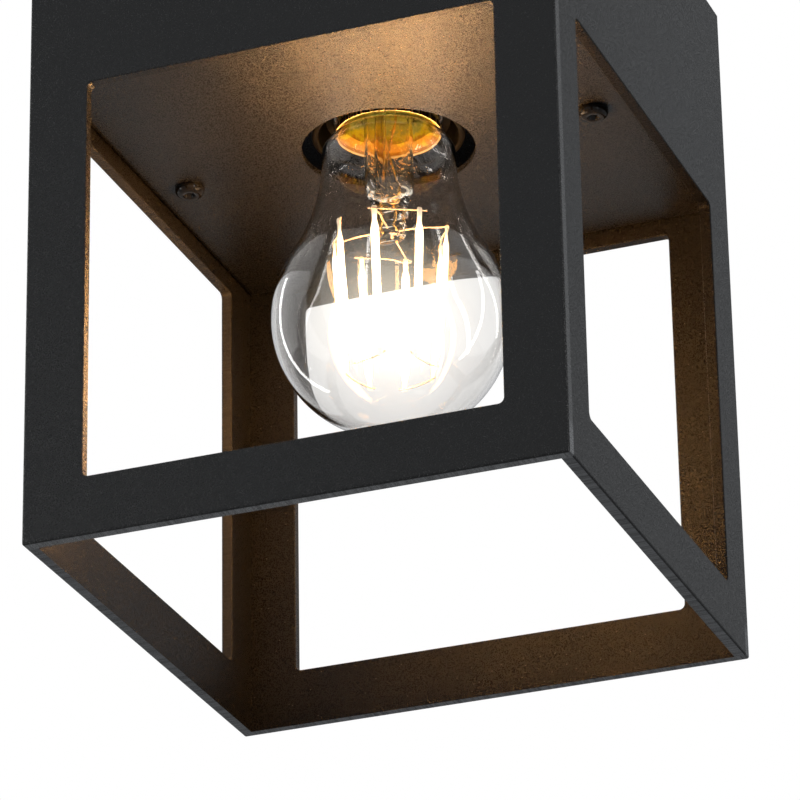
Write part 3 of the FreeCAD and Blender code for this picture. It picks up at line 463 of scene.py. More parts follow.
def make_moulded_skin():
    """Moulded plastic, rubber or foam: faint flow clouds, fine pits and a few rubbed
    places where the surface turns smoother and lighter."""
    tree, given, end = new_group(
        "moulded_skin",
        [("Base", "Color"), ("Rubbed", "Color"), ("Pit Size", "Float", 0.0006), ("Roughness", "Float", 0.45)],
        [("Colour", "Color"), ("Roughness", "Float"), ("Height", "Float")])
    place = coordinates(tree)
    fineness = counted(tree, "DIVIDE", 1.0, given["Pit Size"])
    pits = add(tree, "ShaderNodeTexVoronoi", {"Vector": place, "Scale": fineness}, feature="SMOOTH_F1")
    flow = noise(place, 90.0, 4.0)
    rub = ranged(noise(place, 260.0, 3.0), 0.54, 0.7)
    share = sum_of(product(rub, 0.6), ranged(flow, 0.35, 0.7, 0.0, 0.3))
    plug_all(end, {
        "Colour": mixed(share, given["Base"], given["Rubbed"]),
        "Roughness": sum_of(given["Roughness"], product(rub, -0.12),
                            ranged(flow, 0.3, 0.7, -0.05, 0.05)),
        "Height": pits.outputs["Distance"]})
    return tree


def make_settled_dust():
    """Pale dust that lies in patches on faces that look up."""
    tree, given, end = new_group(
        "settled_dust",
        [("Colour", "Color"), ("Roughness", "Float"), ("Amount", "Float", 0.3)],
        [("Colour", "Color"), ("Roughness", "Float")])
    place = coordinates(tree)
    level = ranged(z_of(coordinates(tree, "Normal")), 0.4, 0.95)
    patch = ranged(noise(place, 75.0, 5.0, 0.65), 0.35, 0.75)
    motes = ranged(noise(place, 1600.0, 2.0), 0.5, 0.7)
    share = product(level, given["Amount"], sum_of(patch, product(motes, 0.5)))
    plug_all(end, {"Colour": mixed(share, given["Colour"], dust_colour),
                   "Roughness": sum_of(given["Roughness"], product(share, 0.5))})
    return tree


def make_blown_glass():
    """Blown glass: slow waves round and down the wall, with a trace of smears that
    tint it slightly. Above the neck's height the wall is drawn into upright creases."""
    tree, given, end = new_group(
        "blown_glass",
        [("Clear", "Color"), ("Smeared", "Color"), ("Wave Size", "Float", 0.02), ("Neck", "Float", -1.0)],
        [("Colour", "Color"), ("Height", "Float"), ("Roughness", "Float")])
    place = coordinates(tree)
    wave = noise(place, counted(tree, "DIVIDE", 1.0, given["Wave Size"]), 1.0)
    above = ranged(counted(tree, "SUBTRACT", z_of(place), given["Neck"]), -0.010, 0.004)
    crease = product(noise(stretched(place, (330.0, 330.0, 90.0)), 1.0, 2.0), above)
    smear = ranged(noise(place, 60.0, 4.0, 0.6), 0.5, 0.75)
    plug_all(end, {"Colour": mixed(smear, given["Clear"], given["Smeared"]),
                   "Height": sum_of(wave, product(crease, 2.2)),
                   "Roughness": product(smear, 0.03)})
    return tree


powder_grain = make_powder_grain()
drawn_metal = make_drawn_metal()
moulded_skin = make_moulded_skin()
settled_dust = make_settled_dust()
blown_glass = make_blown_glass()


# ------------------------------ materials
def new_material(name):
    material = bpy.data.materials.new(name)
    material.use_nodes = True
    tree = material.node_tree
    return material, tree, tree.nodes["Principled BSDF"]


def bumped(shader, height, distance, strength=1.0):
    bump = add(shader.id_data, "ShaderNodeBump", {"Height": height, "Distance": distance,
                                                  "Strength": strength})
    plug(shader.inputs["Normal"], bump.outputs["Normal"])


def dusted(shader, skin, amount):
    """Lays dust over a skin, and gives its colour and roughness to the shader."""
    top = place_group(shader.id_data, settled_dust,
                      {"Colour": skin["Colour"], "Roughness": skin["Roughness"], "Amount": amount})
    plug_all(shader.inputs, {"Base Color": top["Colour"], "Roughness": top["Roughness"]})


def glowing(shader, share, colour, strength):
    """Gives the shader light of its own, whose colour fades to black with the share."""
    plug_all(shader.inputs, {"Emission Color": mixed(share, (0, 0, 0, 1), colour),
                             "Emission Strength": strength})


def show_either(share, first, second):
    """Sends the first shader to the output where share is 0, and the second where it is 1."""
    tree = share.id_data
    both = add(tree, "ShaderNodeMixShader", {0: share, 1: first.outputs[0], 2: second.outputs[0]})
    plug(tree.nodes["Material Output"].inputs["Surface"], both.outputs[0])


def powder_coat(name, sheet_axis, kerf, dust=0.12, roughness=0.31, specular=0.12):
    """Black fine-texture powder coat on a sheet whose faces look along sheet_axis. kerf
    is the grey of its cut window edges, painted light and shade that differs from sheet to sheet."""
    material, tree, shader = new_material(name)
    paint = place_group(tree, powder_grain, {
        "Dark": coat_dark, "Light": coat_light, "Flake": coat_flake, "Rim": coat_rim_painted_light,
        "Kerf": (kerf, kerf, kerf, 1), "Grain Size": coat_grain, "Flake Share": coat_flake_share,
        "Sheet Axis": sheet_axis, "Roughness": roughness})
    dusted(shader, paint, dust)
    plug(shader.inputs["Specular IOR Level"], specular)
    bumped(shader, paint["Height"], coat_relief)
    return material


def metal(name, bright, dull, stretch, roughness, stain=0.3, dust=0.0, relief=0.000015):
    """Bare or plated metal."""
    material, tree, shader = new_material(name)
    skin = place_group(tree, drawn_metal, {"Bright": (*bright, 1), "Dull": (*dull, 1), "Stretch": stretch,
                                           "Roughness": roughness, "Stain": stain})
    dusted(shader, skin, dust)
    plug(shader.inputs["Metallic"], 1.0)
    bumped(shader, skin["Height"], relief, 0.6)
    return material


def moulded(name, base, rubbed, pit_size, relief, roughness, dust=0.1, specular=0.5):
    """Plastic, rubber, foam or ceramic."""
    material, tree, shader = new_material(name)
    skin = place_group(tree, moulded_skin, {"Base": (*base, 1), "Rubbed": (*rubbed, 1),
                                            "Pit Size": pit_size, "Roughness": roughness})
    dusted(shader, skin, dust)
    plug(shader.inputs["Specular IOR Level"], specular)
    bumped(shader, skin["Height"], relief, 0.7)
    return material


def striped_sleeve(name, base, stripe=None, share=0.0):
    """Silicone wire sleeve. share is how much of its round carries the stripe's colour,
    worked out from the direction of the surface's own normal."""
    material, tree, shader = new_material(name)
    rubbed = tuple(min(1, 1.3 * c) for c in base)
    skin = place_group(tree, moulded_skin, {"Base": (*base, 1), "Rubbed": (*rubbed, 1),
                                            "Pit Size": 0.0005, "Roughness": 0.42})
    colour = skin["Colour"]
    if stripe:
        band = ranged(z_of(coordinates(tree, "Normal")), 0.9 - 2 * share, 1.0 - 2 * share)
        colour = mixed(band, colour, (*stripe, 1))
    plug_all(shader.inputs, {"Base Color": colour, "Roughness": skin["Roughness"]})
    bumped(shader, skin["Height"], 0.00003, 0.5)
    return material


def clear_glass(name, clear, smeared, wave_size, relief, rim, glow=0.0):
    """Glass that bends light, with painted shade where it is seen edge on, standing in for dark surroundings
    that it reflects, and open to the rays that lamps send through it. glow is the strength of a painted glow
    of the strips' light on its wall, standing in for the glare round the lit strips, seen where the eye looks
    straight through the wall."""
    material, tree, shader = new_material(name)
    glass = place_group(tree, blown_glass, {"Clear": (*clear, 1), "Smeared": (*smeared, 1),
                                            "Wave Size": wave_size, "Neck": cap_rim_z - 0.002})
    edge = add(tree, "ShaderNodeLayerWeight", {"Blend": 0.5}).outputs["Facing"]
    # painted shade: the colour turns to the grey rim colour where the glass is seen edge on
    plug_all(shader.inputs, {
        "Base Color": mixed(ranged(edge, 0.62, 1.0), glass["Colour"], (*rim, 1)),
        "Roughness": glass["Roughness"], "Transmission Weight": 1.0, "IOR": glass_ior})
    bumped(shader, glass["Height"], relief, 0.5)
    # painted glow: the wall's own light stands in for the glare round the lit strips
    if glow:
        glass_painted_glow = product(ranged(edge, 0.18, 0.0),
                       ranged(z_of(coordinates(tree)), *glass_painted_glow_heights))
        glowing(shader, glass_painted_glow, glass_painted_glow_colour, glow)
    open_side = add(tree, "ShaderNodeBsdfTransparent", {"Color": (0.93, 0.93, 0.92, 1)})
    rays = ray_kinds(tree)
    show_either(larger(rays["Is Shadow Ray"], rays["Is Diffuse Ray"]), shader, open_side)
    return material


def cap_painted_light_inside():
    """Gold-toned cap. Outside it is a plated metal. Inside, where its faces look at the
    axis, tones of painted light and reflection go from orange through yellow to olive, pale streaks are
    painted glints, and the rolled rim is pale, standing in for cream cement with a painted highlight."""
    material, tree, shader = new_material("gold_toned_cap")
    skin = place_group(tree, drawn_metal, {"Bright": (0.93, 0.62, 0.18, 1), "Dull": (0.70, 0.38, 0.08, 1),
                                           "Stretch": along_z, "Roughness": 0.22, "Stain": 0.45})
    place = coordinates(tree)
    outward = vectors("NORMALIZE", {0: stretched(place, (1.0, 1.0, 0.0))})[0]
    turned = dot(coordinates(tree, "Normal"), outward)
    inside = ranged(turned, 0.25, -0.25)
    height = z_of(place)
    cloud = noise(place, 230.0, 3.0, 0.6)
    streak = noise(place, 700.0, 2.0)
    deep = sum_of(ranged(height, cap_rim_z + 0.0012, cap_rim_z + 0.0085),
                  ranged(cloud, 0.3, 0.7, -0.35, 0.35))
    # painted light inside the cap: orange near the rim, yellow higher, olive deepest, pale streaks as painted
    # glints, and a painted highlight on the cream rim
    painted_inside = mixed(ranged(deep, 0.05, 0.40), painted_inside_orange, painted_inside_yellow)
    painted_inside = mixed(ranged(deep, 0.55, 0.95), painted_inside, painted_inside_olive)
    painted_inside = mixed(ranged(streak, 0.58, 0.75, 0.0, 0.6), painted_inside, painted_inside_streak)
    rim = ranged(height, cap_rim_z + 0.0006, cap_rim_z + 0.0002)
    painted_inside = mixed(rim, painted_inside, painted_inside_rim)
    plug_all(shader.inputs, {
        "Base Color": mixed(inside, skin["Colour"], painted_inside),
        "Metallic": ranged(turned, -0.25, 0.25, 0.25, 1.0),
        "Roughness": sum_of(skin["Roughness"], product(inside, 0.12))})
    bumped(shader, sum_of(skin["Height"], product(streak, inside)), 0.0003, 0.9)
    return material


def tab_with_painted_glow():
    """Pale metal tab at a strip's end, with a painted glow that stands in for the strip's light on it,
    stronger towards the middle of the bulb's height, where the strip begins."""
    material, tree, shader = new_material("filament_tab")
    skin = place_group(tree, drawn_metal, {"Bright": (0.90, 0.86, 0.78, 1), "Dull": (0.72, 0.66, 0.56, 1),
                                           "Stretch": along_z, "Roughness": 0.4, "Stain": 0.3})
    plug_all(shader.inputs, {"Base Color": skin["Colour"], "Roughness": skin["Roughness"]})
    near = ranged(z_of(coordinates(tree)), filament_high.z, filament_high.z - 0.0026, 0.4, 1.0)
    glowing(shader, near, tab_painted_glow_colour, tab_painted_glow)
    bumped(shader, skin["Height"], 0.00001, 0.5)
    return material


def lit_phosphor():
    """Lit phosphor coat: white in the middle of the strip, warmer at its edges and
    ends, with the small crystals of the coat in its colour. The light that it sends to
    the rest of the lantern is stronger than what the eye of the camera can show."""
    material, tree, shader = new_material("lit_phosphor")
    skin = place_group(tree, moulded_skin, {"Base": (1.0, 0.83, 0.48, 1), "Rubbed": (1.0, 0.9, 0.62, 1),
                                            "Pit Size": 0.00018, "Roughness": 0.5})
    plug(shader.inputs["Base Color"], skin["Colour"])
    edge = add(tree, "ShaderNodeLayerWeight", {"Blend": 0.5}).outputs["Facing"]
    colour = mixed(ranged(edge, 0.35, 0.9), strip_white, strip_warm)
    height = z_of(coordinates(tree))
    body = product(ranged(height, filament_high.z - 0.0035, filament_high.z - 0.0085),
                   ranged(height, filament_low.z + 0.0020, filament_low.z + 0.0055))
    power = product(ranged(body, 0.0, 1.0, 0.26, 1.0), ranged(edge, 0.85, 0.35, 0.16, 1.0))
    glowing(shader, power, colour, strip_glow)
    bumped(shader, skin["Height"], 0.00004, 0.6)
    lamp = add(tree, "ShaderNodeEmission", {"Color": strip_light_colour, "Strength": strip_light})
    show_either(seen_rays(tree), lamp, shader)
    return material


# Marks a metre that drawn metal shows on each axis
along_x = (60.0, 2600.0, 2600.0)
along_z = (2600.0, 2600.0, 60.0)
even = (900.0, 900.0, 900.0)
# Directions that a sheet's faces look along
facing_x, facing_y, facing_z = (1.0, 0.0, 0.0), (0.0, 1.0, 0.0), (0.0, 0.0, 1.0)

# The kerf greys are painted light and shade: the left sheet's cut edges are painted lit, the rear's a little,
# and the front's, right's and plate's are dark as in shade.
paint_front = powder_coat("powder_coat_front", facing_y, 0.003, roughness=0.26, specular=0.42)
paint_rear = powder_coat("powder_coat_rear", facing_y, 0.005)
paint_left = powder_coat("powder_coat_left", facing_x, 0.018)
paint_right = powder_coat("powder_coat_right", facing_x, 0.003)
paint_plate = powder_coat("powder_coat_plate", facing_z, 0.003, 0.35, 0.25, 0.60)
screw_black = moulded("black_oxide_screw", (0.002, 0.002, 0.0022), (0.006, 0.006, 0.006), 0.0003, 0.000002,
                      0.09, 0.02, 0.25)
zinc = metal("zinc_plated_steel", (0.62, 0.63, 0.65), (0.42, 0.43, 0.44), along_x, 0.34, 0.35, 0.25)
zinc_part = metal("zinc_plated_fixings", (0.66, 0.66, 0.66), (0.45, 0.45, 0.44), even, 0.28, 0.3, 0.15)
foam = moulded("closed_cell_foam", (0.03, 0.03, 0.032), (0.065, 0.065, 0.066), 0.0009, 0.00025,
               0.85, 0.3, 0.2)
rubber = moulded("grommet_rubber", (0.014, 0.014, 0.015), (0.04, 0.04, 0.04), 0.0007, 0.00004,
                 0.6, 0.2, 0.4)
black_plastic = moulded("heat_proof_black_plastic", (0.0003, 0.0003, 0.00033), (0.0007, 0.0007, 0.0007),
                        0.0005, 0.00002, 0.5, 0.02, 0.06)
white_plastic = moulded("white_polyamide", (0.74, 0.73, 0.68), (0.82, 0.81, 0.78), 0.0006, 0.00003,
                        0.38, 0.15)
nickel = metal("nickel_plate", (0.66, 0.63, 0.59), (0.44, 0.41, 0.37), along_z, 0.24, 0.35)
brass = metal("plain_brass", (0.80, 0.60, 0.28), (0.52, 0.37, 0.16), even, 0.28, 0.35, 0.1)
tin_solder = metal("tin_solder", (0.62, 0.62, 0.62), (0.42, 0.42, 0.43), even, 0.36, 0.5)
gold_cap = cap_painted_light_inside()
insulator_black = moulded("vitreous_insulator", (0.012, 0.012, 0.018), (0.04, 0.04, 0.05), 0.0008, 0.00003,
                          0.12, 0.0, 0.6)
board = moulded("printed_board", (0.06, 0.2, 0.09), (0.12, 0.3, 0.14), 0.0009, 0.00005, 0.4, 0.0)
lead_metal = metal("gilt_lead_wire", (0.97, 0.74, 0.36), (0.80, 0.54, 0.20), along_z, 0.20, 0.15)
support_metal = metal("support_wire", (0.86, 0.78, 0.66), (0.66, 0.55, 0.42), along_z, 0.22, 0.2)
tab_metal = tab_with_painted_glow()
brown_sleeve = striped_sleeve("brown_sleeve", (0.20, 0.085, 0.035))
blue_sleeve = striped_sleeve("blue_sleeve", (0.05, 0.17, 0.50))
earth_sleeve = striped_sleeve("green_and_yellow_sleeve", (0.05, 0.36, 0.07), (0.85, 0.72, 0.05), 0.3)
# the grey rim colour is painted shade on the edges, and 0.13 is the strength of the painted glow
bulb_glass = clear_glass("blown_bulb_glass", (0.945, 0.937, 0.925), (0.915, 0.905, 0.895), 0.016, 0.00008,
                         (0.42, 0.42, 0.43), 0.13)
# painted reflection: the stem's gold tint and golden edges stand in for the gold cap and warm light seen
# through it; the glass itself is clear
stem_glass_painted_gold = clear_glass("drawn_stem_glass", (0.99, 0.95, 0.84), (0.97, 0.90, 0.74), 0.004, 0.00020,
                         (0.66, 0.54, 0.34))
phosphor = lit_phosphor()

finishes = (
    (paint_front, "front_panel"), (paint_rear, "rear_panel"), (paint_left, "left_panel"),
    (paint_right, "right_panel"), (paint_plate, "socket_plate"), (screw_black, "plate_screws"),
    (zinc, "ceiling_bracket", "lampholder_bridge"),
    (zinc_part, "leg_nuts", "bridge_screws", "lampholder_terminal_screws", "lampholder_screws",
     "lampholder_nuts", "terminal_clamp_screws", "terminal_block_screw", "earth_screw", "earth_washer"),
    (foam, "ceiling_gasket"), (rubber, "cable_grommet"),
    (black_plastic, "lampholder_base", "lampholder_sleeve"), (white_plastic, "terminal_block"),
    (nickel, "lampholder_thread"),
    (brass, "lampholder_contact", "lampholder_side_contact", "lampholder_terminals", "terminal_inserts",
     "earth_tag"),
    (brown_sleeve, "live_wire"), (blue_sleeve, "neutral_wire"), (earth_sleeve, "earth_wire"),
    (tin_solder, "bulb_foot_contact"), (insulator_black, "bulb_insulator"), (gold_cap, "bulb_cap"),
    (bulb_glass, "bulb_glass"), (stem_glass_painted_gold, "bulb_stem", "bulb_exhaust_tube"), (board, "bulb_driver"),
    (lead_metal, "bulb_lead_wires"), (support_metal, "bulb_upper_wires", "bulb_lower_wires"),
    (phosphor, "bulb_filaments"),
)
for material, *names in finishes:
    for name in names:
        slots = nodes[name].data.materials
        slots.clear()
        slots.append(material)


# ------------------------------ bulb
def envelope_profile(inset, count):
    """(radius, z) down the pear-shaped envelope: a straight neck, a cubic Bezier
    shoulder, an arc hollowed the other way down the neck, and the globe's circle. All
    stand inset inside the outer face."""
    seal_z = cap_rim_z + neck_seal_end
    seal_r, neck_r, globe_r = neck_seal_radius - inset, neck_radius - inset, globe_radius - inset
    hollow = (globe_radius * math.cos(neck_join_angle) - neck_radius) / (1 - math.cos(neck_join_angle))
    centre = (neck_radius + hollow, globe_z + (globe_radius + hollow) * math.sin(neck_join_angle))
    pull = (seal_z - (cap_rim_z - 0.006)) / 2
    share = np.linspace(0, 1, count)[:, None]
    a, b = np.array([seal_r, seal_z]), np.array([seal_r, seal_z - pull])
    c, d = np.array([neck_r, centre[1] + pull]), np.array([neck_r, centre[1]])
    shoulder = ((1 - share) ** 3 * a + 3 * (1 - share) ** 2 * share * b
                + 3 * (1 - share) * share ** 2 * c + share ** 3 * d)
    neck = arc(centre, hollow + inset, math.pi, math.pi + neck_join_angle, count)
    globe = arc((0.0, globe_z), globe_r, neck_join_angle, -math.pi / 2, 3 * count)
    globe[-1, 0] = 0.0
    top = np.array([[seal_r, neck_top_z], [seal_r, (neck_top_z + seal_z) / 2]])
    return np.concatenate([top, shoulder, neck[1:], globe[1:]])


def make_envelope():
    outer = envelope_profile(0.0, 26)
    inner = envelope_profile(glass_wall, 26)
    wall = np.concatenate([outer, inner[::-1], outer[:1]])
    make_piece("bulb_envelope", [lathe(wall, 144)], bulb_glass, "bulb", ("bulb_glass",))


def make_stem():
    """Flared tube, melted shut into a flat pinch. Its half widths go down the stem as
    smooth steps from the flare to the round tube, through a funnel, to the pinch. The
    pinch's skin is uneven: the section is scaled by 1 plus a few sines of the height and
    of the angle round it. The inner wall follows the funnel and closes in a dome."""
    end_z = cap_rim_z - stem_end
    tip_z = end_z - stem_radius / 2 - pinch_length
    flare_r = neck_seal_radius - glass_wall - 0.00005
    finer_z = end_z + 0.0035
    height = np.concatenate([np.linspace(neck_top_z, finer_z, 40)[:-1], np.linspace(finer_z, tip_z, 110)])
    flare = np.clip((height - (neck_top_z - stem_flare)) / stem_flare, 0, 1) ** 2
    closing = eased((end_z + funnel_start - height) / funnel_length)
    taper = np.clip((end_z - pinch_taper_start - height) / pinch_taper_length, 0, 1)
    wide = stem_radius + (flare_r - stem_radius) * flare
    deep = wide + (pinch_thickness / 2 - wide) * closing
    wide = wide + (pinch_width / 2 - wide) * closing - (pinch_width - pinch_tip_width) / 2 * taper
    tip = domed((height - tip_z) / pinch_tip_length)
    path = np.stack([0 * height, 0 * height, height], -1)
    side = np.tile([1.0, 0.0, 0.0], (len(height), 1))
    outer = section_along(path, side, wide * tip, deep * tip, 2.3, 72)
    angle = np.arange(72) * 2 * math.pi / 72
    drop = (height - tip_z)[:, None] * 2 * math.pi
    uneven = (0.045 * np.sin(drop / 0.0031 + 1.7 * np.sin(angle)) + 0.035 * np.sin(drop / 0.0017 - 3 * angle)
              + 0.03 * np.sin(5 * angle + drop / 0.0047))
    outer[..., :2] *= (1 + uneven * closing[:, None])[..., None]
    hollow = height > end_z - hollow_end
    dome = domed((height[hollow] - (end_z - hollow_end)) / hollow_dome_length)
    dome[-1] = 0.0
    inner = section_along(path[hollow], side[hollow], np.maximum(wide[hollow] - stem_wall, 0) * dome,
                          np.maximum(deep[hollow] - stem_wall, 0) * dome, 2.3, 72)
    shell = np.concatenate([outer[::-1], inner])
    make_piece("bulb_mount_stem", [shell], stem_glass_painted_gold, "bulb", ("bulb_stem",))


def make_exhaust_tube():
    """Thin tube with fire-rounded ends: both walls turned as one closed profile."""
    centre = ((exhaust_low.x + exhaust_high.x) / 2, (exhaust_low.y + exhaust_high.y) / 2)
    middle = (exhaust_radius + exhaust_bore) / 2
    lip = (exhaust_radius - exhaust_bore) / 2
    low = arc((middle, exhaust_low.z + lip), lip, -math.pi, 0, 9)
    high = arc((middle, exhaust_high.z - lip), lip, 0, math.pi, 9)
    profile = np.concatenate([low, high, low[:1]])
    make_piece("bulb_exhaust_pipe", [lathe(profile, 32, centre)], stem_glass_painted_gold, "bulb",
               ("bulb_exhaust_tube",))


def make_leads():
    """Two wires through the stem. One leans across it. Below the stem both run on in
    the pinch, where the melt has kinked them and rolled one into a small curl."""
    top, foot = lead_high.z, lead_low.z
    reach = lead_high.x - 0.0004
    melt = foot - 0.0030
    leaning = [(reach * 0.8, 0.0010, top), (reach * 0.7, 0.0010, top - 0.006),
               (-reach * 0.1, 0.0012, (top + foot) / 2), (-reach * 0.8, 0.0012, foot + 0.003),
               (-reach, 0.0010, foot), (-reach * 0.7, 0.0006, melt), (-reach, 0.0003, melt - 0.0020),
               (-reach * 0.5, -0.0003, melt - 0.0035), (-reach * 0.9, 0.0002, melt - 0.0055),
               (-reach * 0.6, 0.0, melt - 0.0075)]
    straight = [(-reach, 0.0020, top), (-reach * 0.9, 0.0034, top - 0.009),
                (-reach * 0.2, 0.0042, foot + 0.009), (reach * 0.7, 0.0036, foot + 0.004),
                (reach, 0.0016, foot), (reach * 0.4, 0.0006, foot - 0.001),
                (-reach * 0.1, -0.0004, foot - 0.0022), (reach * 0.3, -0.0010, foot - 0.0036),
                (reach, -0.0002, foot - 0.0032), (reach * 0.9, 0.0006, foot - 0.0016),
                (reach * 0.2, 0.0004, foot - 0.0030), (reach * 0.8, 0.0, melt - 0.0030),
                (reach * 0.4, -0.0003, melt - 0.0050), (reach * 0.8, 0.0, melt - 0.0072)]
    wires = [round_wire(p, lead_radius, (0.0, 1.0, 0.0), 10) for p in (leaning, straight)]
    make_piece("bulb_leads", wires, lead_metal, "bulb", ("bulb_lead_wires",))


def filament_frame(index):
    """Outward and sideways directions of one strip, from its angle round the ring."""
    angle = filament_phase + 2 * math.pi * index / filament_count
    cosine, sine = math.cos(angle), math.sin(angle)
    return np.array([cosine, sine, 0.0]), np.array([-sine, cosine, 0.0])


def filament_point(index, share):
    """A point down a strip: straight from the top ring to the bottom ring, bowed
    outwards by 4 s (1 - s) times the bow."""
    outward, _ = filament_frame(index)
    share = np.asarray(share, float)[..., None]
    ring = filament_top_ring + (filament_bottom_ring - filament_top_ring) * share
    ring = ring + filament_bow * 4 * share * (1 - share)
    height = filament_high.z + (filament_low.z - filament_high.z) * share
    return ring * outward + height * np.array([0.0, 0.0, 1.0])


def strip_section(index, start, end, width, thickness, end_length, roundness, rows, sides, narrow=1.0):
    """One length of a strip, between two distances from its top. Towards both ends its
    width falls to the narrow share as a smooth step."""
    total = filament_high.z - filament_low.z
    bend = np.sin(np.linspace(-math.pi / 2, math.pi / 2, rows)) / 2 + 0.5
    path = filament_point(index, (start + (end - start) * bend) / total)
    _, sideways = filament_frame(index)
    near = eased(np.minimum(bend, 1 - bend) / strip_taper_share)
    share = rounded_ends(path, end_length) * (narrow + (1 - narrow) * near)
    side = np.tile(sideways, (rows, 1))
    return section_along(path, side, width / 2 * share, thickness / 2 * share, roundness, sides)


def make_filaments():
    total = filament_high.z - filament_low.z
    lit_end = total - bottom_tab_length
    overlap = 0.001
    strips, tabs = [], []
    for index in range(filament_count):
        strips.append(strip_section(index, top_tab_length, lit_end, filament_width, filament_thickness,
                                    0.0005, 2.6, 60, 20, strip_end_width))
        for start, end in ((0.0, top_tab_length + overlap), (lit_end - overlap, total)):
            tabs.append(strip_section(index, start, end, tab_width, tab_thickness, 0.0002, 5.0, 14, 12))
    make_piece("filament_strips", strips, phosphor, "bulb", ("bulb_filaments",))
    make_piece("filament_tabs", tabs, tab_metal, "bulb")


def make_support_wires():
    """Above, a wire leaves the pinch, passes one tab, hooks round it and runs on past
    the next. Below, a short wire joins each strip to its neighbour in the other pair."""
    top_z = filament_high.z - 0.0006
    low_z = filament_low.z + 0.0005
    lift = np.array([0.0, 0.0, 1.0])
    grip = tab_thickness / 2 + support_radius
    upper, lower = [], []
    for index in range(0, filament_count, 2):
        outward, _ = filament_frame(index)
        next_out, _ = filament_frame(index + 1)
        third_out, _ = filament_frame(index + 2)
        near = outward * (filament_top_ring - grip) + lift * top_z
        far = next_out * (filament_top_ring - grip) + lift * top_z
        run = unit(far - near)
        root = outward * 0.0022 + lift * (top_z + 0.0010)
        hook_out = outward * (filament_top_ring + grip) + lift * (top_z - 0.0004)
        upper.append(round_wire([root, near * 0.5 + root * 0.5 + lift * 0.0006, near - run * 0.0004,
                                 near - run * 0.0016 + outward * 0.0005, hook_out - run * 0.0010,
                                 hook_out + run * 0.0014, near * 0.7 + far * 0.3, far,
                                 far + run * 0.0022], support_radius, lift, 10))
        start = next_out * (filament_bottom_ring - grip) + lift * low_z
        end = third_out * (filament_bottom_ring - grip) + lift * low_z
        link = unit(end - start)
        sag = -lift * 0.0003
        tail = link * 0.0016
        lower.append(round_wire([start - tail + lift * 0.0004, start, start + link * 0.002 + sag,
                                 end - link * 0.002 + sag, end, end + tail + lift * 0.0004],
                                support_radius, lift, 10))
    make_piece("bulb_upper_supports", upper, support_metal, "bulb", ("bulb_upper_wires",))
    make_piece("bulb_lower_links", lower, support_metal, "bulb", ("bulb_lower_wires",))


# ------------------------------ screws, grommet, gasket
def socket_edge(angle):
    """Distance from the axis to the side of a hexagon: half its width over the cosine
    of the angle from the nearest flat's middle."""
    sector = math.pi / 3
    return screw_socket_width / 2 / np.cos((angle + sector / 2) % sector - sector / 2)


def button_screw(x):
    """Button head with a hexagonal socket, and a shank whose thread is a ridge that
    climbs one pitch a turn: the radius falls with the distance of (z / pitch - a / turn)
    from a whole number."""
    sides = 72
    angle = np.arange(sides) * 2 * math.pi / sides
    under_z = plate_low.z
    crown_z = screw_low.z
    tip_z = screw_high.z
    rings = [(0 * angle, crown_z + screw_socket_depth + 0.0003),
             (socket_edge(angle), crown_z + screw_socket_depth),
             (socket_edge(angle), crown_z + screw_socket_bevel),
             (socket_edge(angle) + screw_socket_bevel, crown_z + 0.00002)]
    for radius, z in arc((screw_head_radius - screw_dome_radius, crown_z + screw_dome_radius),
                         screw_dome_radius, -math.pi / 2, 0, 14):
        rings.append((radius + 0 * angle, z))
    rings += [(screw_head_radius + 0 * angle, under_z - 0.0001),
              (screw_head_radius - 0.0001 + 0 * angle, under_z), (screw_radius + 0 * angle, under_z)]
    for z in np.linspace(under_z + 0.0001, tip_z - 0.0004, 84):
        turn = (z / screw_thread_pitch - angle / (2 * math.pi)) % 1
        rings.append((screw_radius - screw_thread_depth * np.abs(2 * turn - 1), z))
    rings += [(screw_radius - screw_thread_depth - 0.0002 + 0 * angle, tip_z), (0 * angle, tip_z)]
    radius = np.stack([ring[0] for ring in rings])
    height = np.array([ring[1] for ring in rings])[:, None] + 0 * angle
    return np.stack([x + radius * np.cos(angle), radius * np.sin(angle), height], -1)


def make_screws():
    reach = screw_high.x - screw_head_radius
    make_piece("plate_button_screws", [button_screw(-reach), button_screw(reach)], screw_black, "lantern",
               ("plate_screws",))


def make_grommet():
    """Rubber bush: two lips with rounded edges and a waist between them, the bore
    flared at both ends."""
    centre = ((grommet_low.x + grommet_high.x) / 2, (grommet_low.y + grommet_high.y) / 2)
    lip = grommet_lip
    flange = (grommet_high.x - grommet_low.x) / 2
    top = arc((flange - lip, grommet_high.z - lip), lip, math.pi / 2, -math.pi / 2, 12)
    low = arc((flange - lip, grommet_low.z + lip), lip, math.pi / 2, -math.pi / 2, 12)
    neck = np.array([[grommet_waist, top[-1, 1]], [grommet_waist, low[0, 1]]])
    bore_low = arc((grommet_bore + lip, grommet_low.z + lip), lip, -math.pi / 2, -math.pi, 8)
    bore_high = arc((grommet_bore + lip, grommet_high.z - lip), lip, math.pi, math.pi / 2, 8)
    profile = np.concatenate([top, neck, low, bore_low, bore_high, top[:1]])
    make_piece("inlet_grommet", [lathe(profile, 64, centre)], rubber, "lantern", ("cable_grommet",))


def make_gasket():
    """Foam pad: the solid's outline with its edges rounded by a small bevel."""
    mesh = nodes["ceiling_gasket"].data.copy()
    pad = finish_piece("ceiling_foam_pad", mesh, foam, "lantern", ("ceiling_gasket",))
    bevel = pad.modifiers.new("soft_edge", "BEVEL")
    bevel.width = gasket_edge
    bevel.segments = 3
    bevel.limit_method = "ANGLE"
    bevel.angle_limit = math.radians(50)


make_envelope()
make_stem()
make_exhaust_tube()
make_leads()
make_filaments()
make_support_wires()
make_screws()
make_grommet()
make_gasket()


